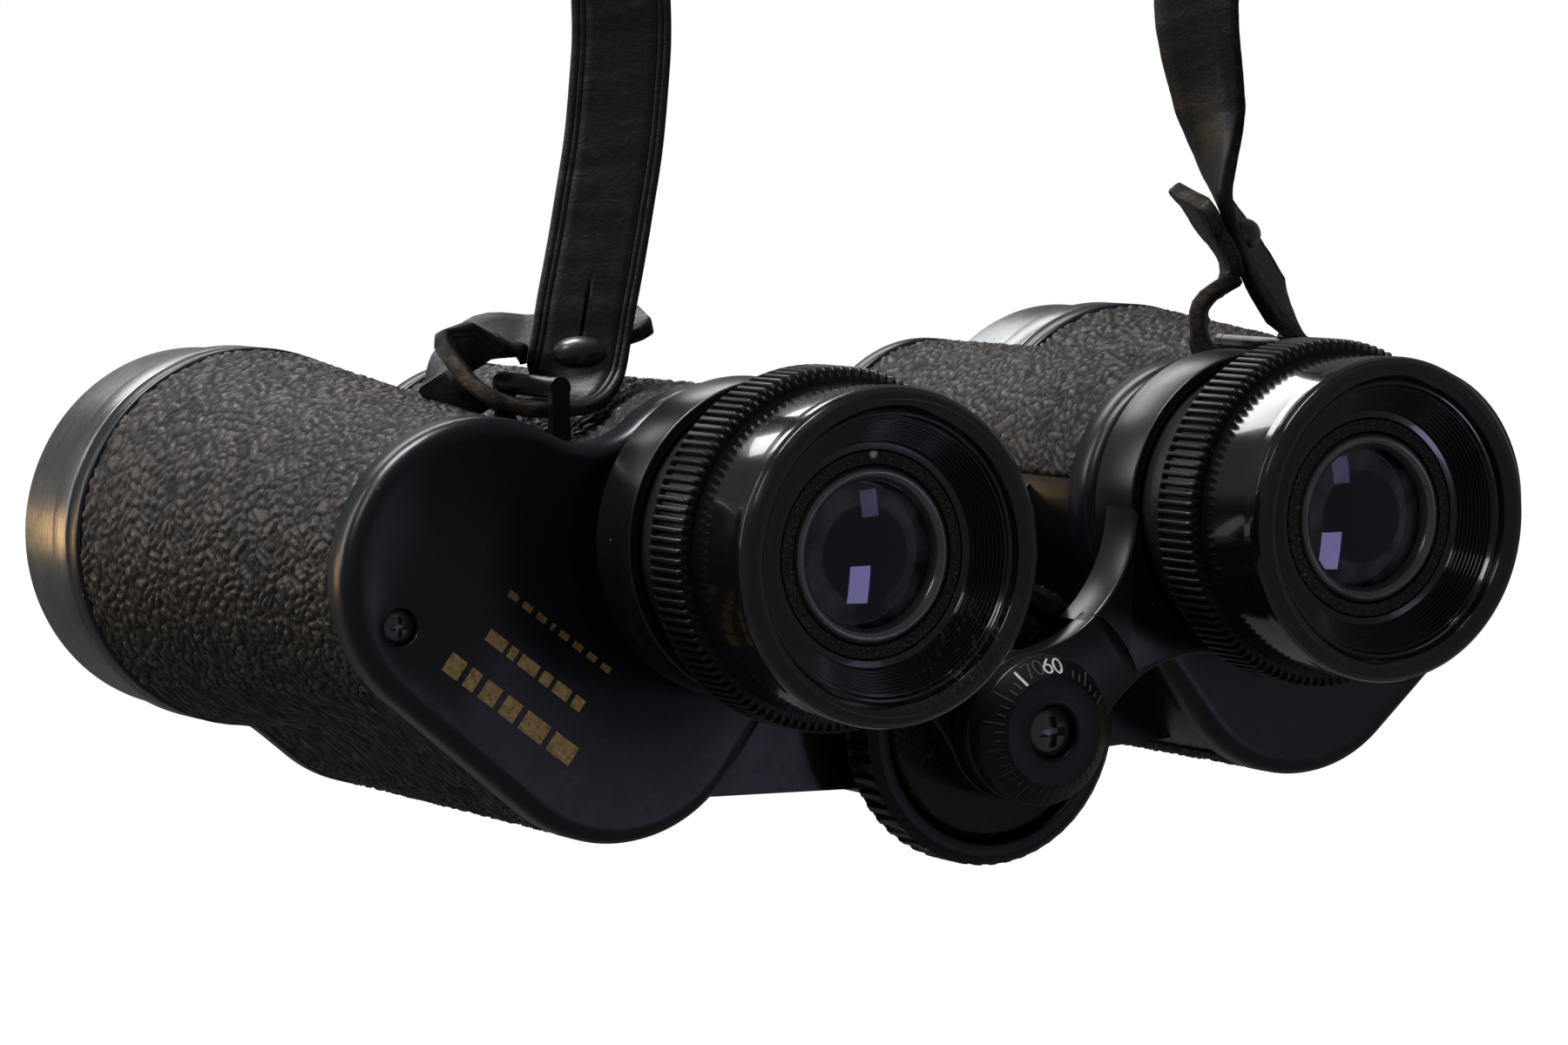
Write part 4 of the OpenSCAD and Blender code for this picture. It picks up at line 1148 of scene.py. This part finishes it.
def stroke_figures():
    """Digits as strokes in a 1 by 1.6 box, for the interpupillary scale."""
    def loop(half, start, end, count):
        return [(0.5 + 0.46 * math.cos(a), half + half * math.sin(a))
                for a in np.radians(np.linspace(start, end, count))]

    return {"6": [(0.82, 1.6), (0.3, 1.0)] + loop(0.48, 160, 520, 20),
            "7": [(0.02, 1.6), (0.98, 1.6), (0.35, 0)],
            "0": loop(0.8, 0, 360, 24)}


def on_cap(angle, rise):
    """A point on the cap's conical side; rise runs from 0 at its face to 1 at its foot."""
    r = CAP_FACE_R + (CAP_R - CAP_FACE_R) * rise + 0.03
    y = CAP_FRONT + (CAP_FOOT - CAP_FRONT) * rise - 0.03
    return np.array([r * math.cos(angle), y, r * math.sin(angle)])


def cap_stroke(line, width):
    """A thin raised band through (angle, rise) points on the cap's side."""
    points = []
    middle = [on_cap(*spot) for spot in line]
    for i, p in enumerate(middle):
        run = unit(middle[min(i + 1, len(middle) - 1)] - middle[max(i - 1, 0)])
        slope = unit(np.array([math.cos(line[i][0]), -1.15, math.sin(line[i][0])]))
        sideways = np.cross(run, slope) * width / 2
        points += [p - sideways + slope * 0.02, p + sideways + slope * 0.02,
                   p + sideways - slope * 0.05, p - sideways - slope * 0.05]
    last = 4 * (len(middle) - 1)
    faces = grid_faces(len(middle), 4, close_rings=False)
    return points, faces + [(3, 2, 1, 0), (last, last + 1, last + 2, last + 3)]


def cap_marks(name, strokes, look):
    points, faces = [], []
    for line, width in strokes:
        band, quads = cap_stroke(line, width)
        faces += [tuple(len(points) + k for k in quad) for quad in quads]
        points += band
    piece(name, points, faces, look, "left_bridge", (), 50)


def number_strokes(text, middle, width):
    """The strokes of a number round the angle middle, its feet towards the cap's face."""
    figures = stroke_figures()
    pitch, wide, foot, tall = 0.19, 0.15, 0.2, 0.62
    strokes = []
    for i, figure in enumerate(text):
        start = middle - (i - (len(text) - 1) / 2) * pitch
        strokes.append(([(start - (x - 0.5) * wide, foot + z / 1.6 * tall)
                         for x, z in figures[figure]], width))
    return strokes


def tick(degrees, foot, top, width):
    return [(math.radians(degrees), foot), (math.radians(degrees), top)], width


def scale_cap():
    """The cap with its generic scale: ticks all round, but for the stretch with numbers."""
    lathe("cap_body", HINGE,
          [(1.7, CAP_FOOT), (3, CAP_FOOT), (3, 20.45), (3.2, CAP_FRONT), (CAP_FACE_R, CAP_FRONT),
           (CAP_R, CAP_FOOT), (CAP_R, 24.55), (4.1, 24.55), (4.1, 23.1), (1.7, 23.1)],
          "black_metal", "left_bridge", ["scale_cap"], steps=200, soft=0.16)
    ticks = [tick(a, 0.12, 0.9 if a % 24 == 0 else 0.5, 0.16)
             for a in range(0, 360, 8) if not 70 < a < 125]
    cap_marks("cap_ticks", ticks, "dark_paint")
    white = number_strokes("60", math.radians(86), 0.24) + [tick(121, 0.08, 0.8, 0.3)]
    cap_marks("cap_white_marks", white, "white_paint")
    cap_marks("cap_dark_marks", number_strokes("70", math.radians(106), 0.18), "dark_paint")
    cross_screw("cap_centre_screw", HINGE, 20.3, 2.75, 0.9, "left_bridge", ["cap_screw"], 1.4)


focus_wheel()
scale_cap()

# ---- carried-over CAD nodes

SLOT_OF = {s["node"]: s["material_slot"] for s in frame["record"]["subparts"]}
for node_name, node_obj in frame["nodes"].items():
    node_obj.data.materials.clear()
    slot = "enamel" if "strap_lug" in node_name else SLOT_OF[node_name]
    node_obj.data.materials.append(LOOKS[slot])

# ---- stage and light


def make_floor():
    """A wide pale floor far under the hanging binoculars."""
    reach, level, count = 12.0, -1.2, 8
    line = np.linspace(-reach, reach, count)
    points = [(x, y, level) for y in line for x in line]
    mesh = bpy.data.meshes.new("floor")
    mesh.from_pydata(points, [], grid_faces(count, count, False, False))
    mesh.materials.append(LOOKS["pale_floor"])
    floor = linked("floor", mesh)
    floor.visible_diffuse = False
    floor.visible_glossy = False


def area_light(name, direction, distance, size, power, colour=(1, 1, 1)):
    """A soft rectangular light that faces the binoculars from a direction."""
    target = Vector(place([-10, 55, 20]))
    data = bpy.data.lights.new(name, "AREA")
    data.shape = "RECTANGLE"
    data.size, data.size_y = size
    data.energy = power
    data.color = colour
    light = linked(name, data)
    light.location = target + Vector(direction).normalized() * distance
    light.rotation_euler = (target - light.location).to_track_quat("-Z", "Y").to_euler()
    light.visible_camera = False


def make_world():
    """A white backdrop that lights the object only faintly."""
    world = bpy.data.worlds.new("studio")
    world.use_nodes = True
    tree = world.node_tree
    fill = tree.nodes["Background"]
    fill.inputs["Color"].default_value = (0.97, 0.98, 1, 1)
    fill.inputs["Strength"].default_value = 0.11
    backdrop = tree.nodes.new("ShaderNodeBackground")
    backdrop.inputs["Strength"].default_value = 1.0
    backdrop.inputs["Color"].default_value = (1, 1, 1, 1)
    rays = tree.nodes.new("ShaderNodeLightPath")
    choose = tree.nodes.new("ShaderNodeMixShader")
    tree.links.new(rays.outputs["Is Camera Ray"], choose.inputs["Fac"])
    tree.links.new(fill.outputs["Background"], choose.inputs[1])
    tree.links.new(backdrop.outputs["Background"], choose.inputs[2])
    tree.links.new(choose.outputs["Shader"], tree.nodes["World Output"].inputs["Surface"])
    SCENE.world = world


make_floor()
make_world()
SCENE.view_settings.view_transform = "Standard"
area_light("key_above", (-0.35, 0.1, 1), 1.0, (0.36, 0.5), 12, (0.97, 0.96, 1))
area_light("window_front", (0.44, -0.86, -0.2), 1.2, (0.12, 0.17), 0.2, (0.66, 0.64, 1))
area_light("sky_behind", (0.1, 0.86, 0.55), 1.2, (0.7, 0.2), 2.2)
area_light("window_high", (0.5, -0.86, 0.1), 1.2, (0.1, 0.12), 0.03, (0.7, 0.66, 1))
area_light("side_fill", (-1, -0.25, 0.75), 1.1, (0.3, 0.3), 1.6)
area_light("rim_left", (-0.7, 0.7, 0.35), 1.0, (0.12, 0.6), 1.6)
# Thin warm slats, one above another, for the streaks on the turned rings.
for slat in range(7):
    area_light(f"warm_slat_{slat}", (-0.5, 0.86, 0.022 * slat - 0.09), 0.9, (0.12, 0.006), 0.05,
               (1, 0.62, 0.25))
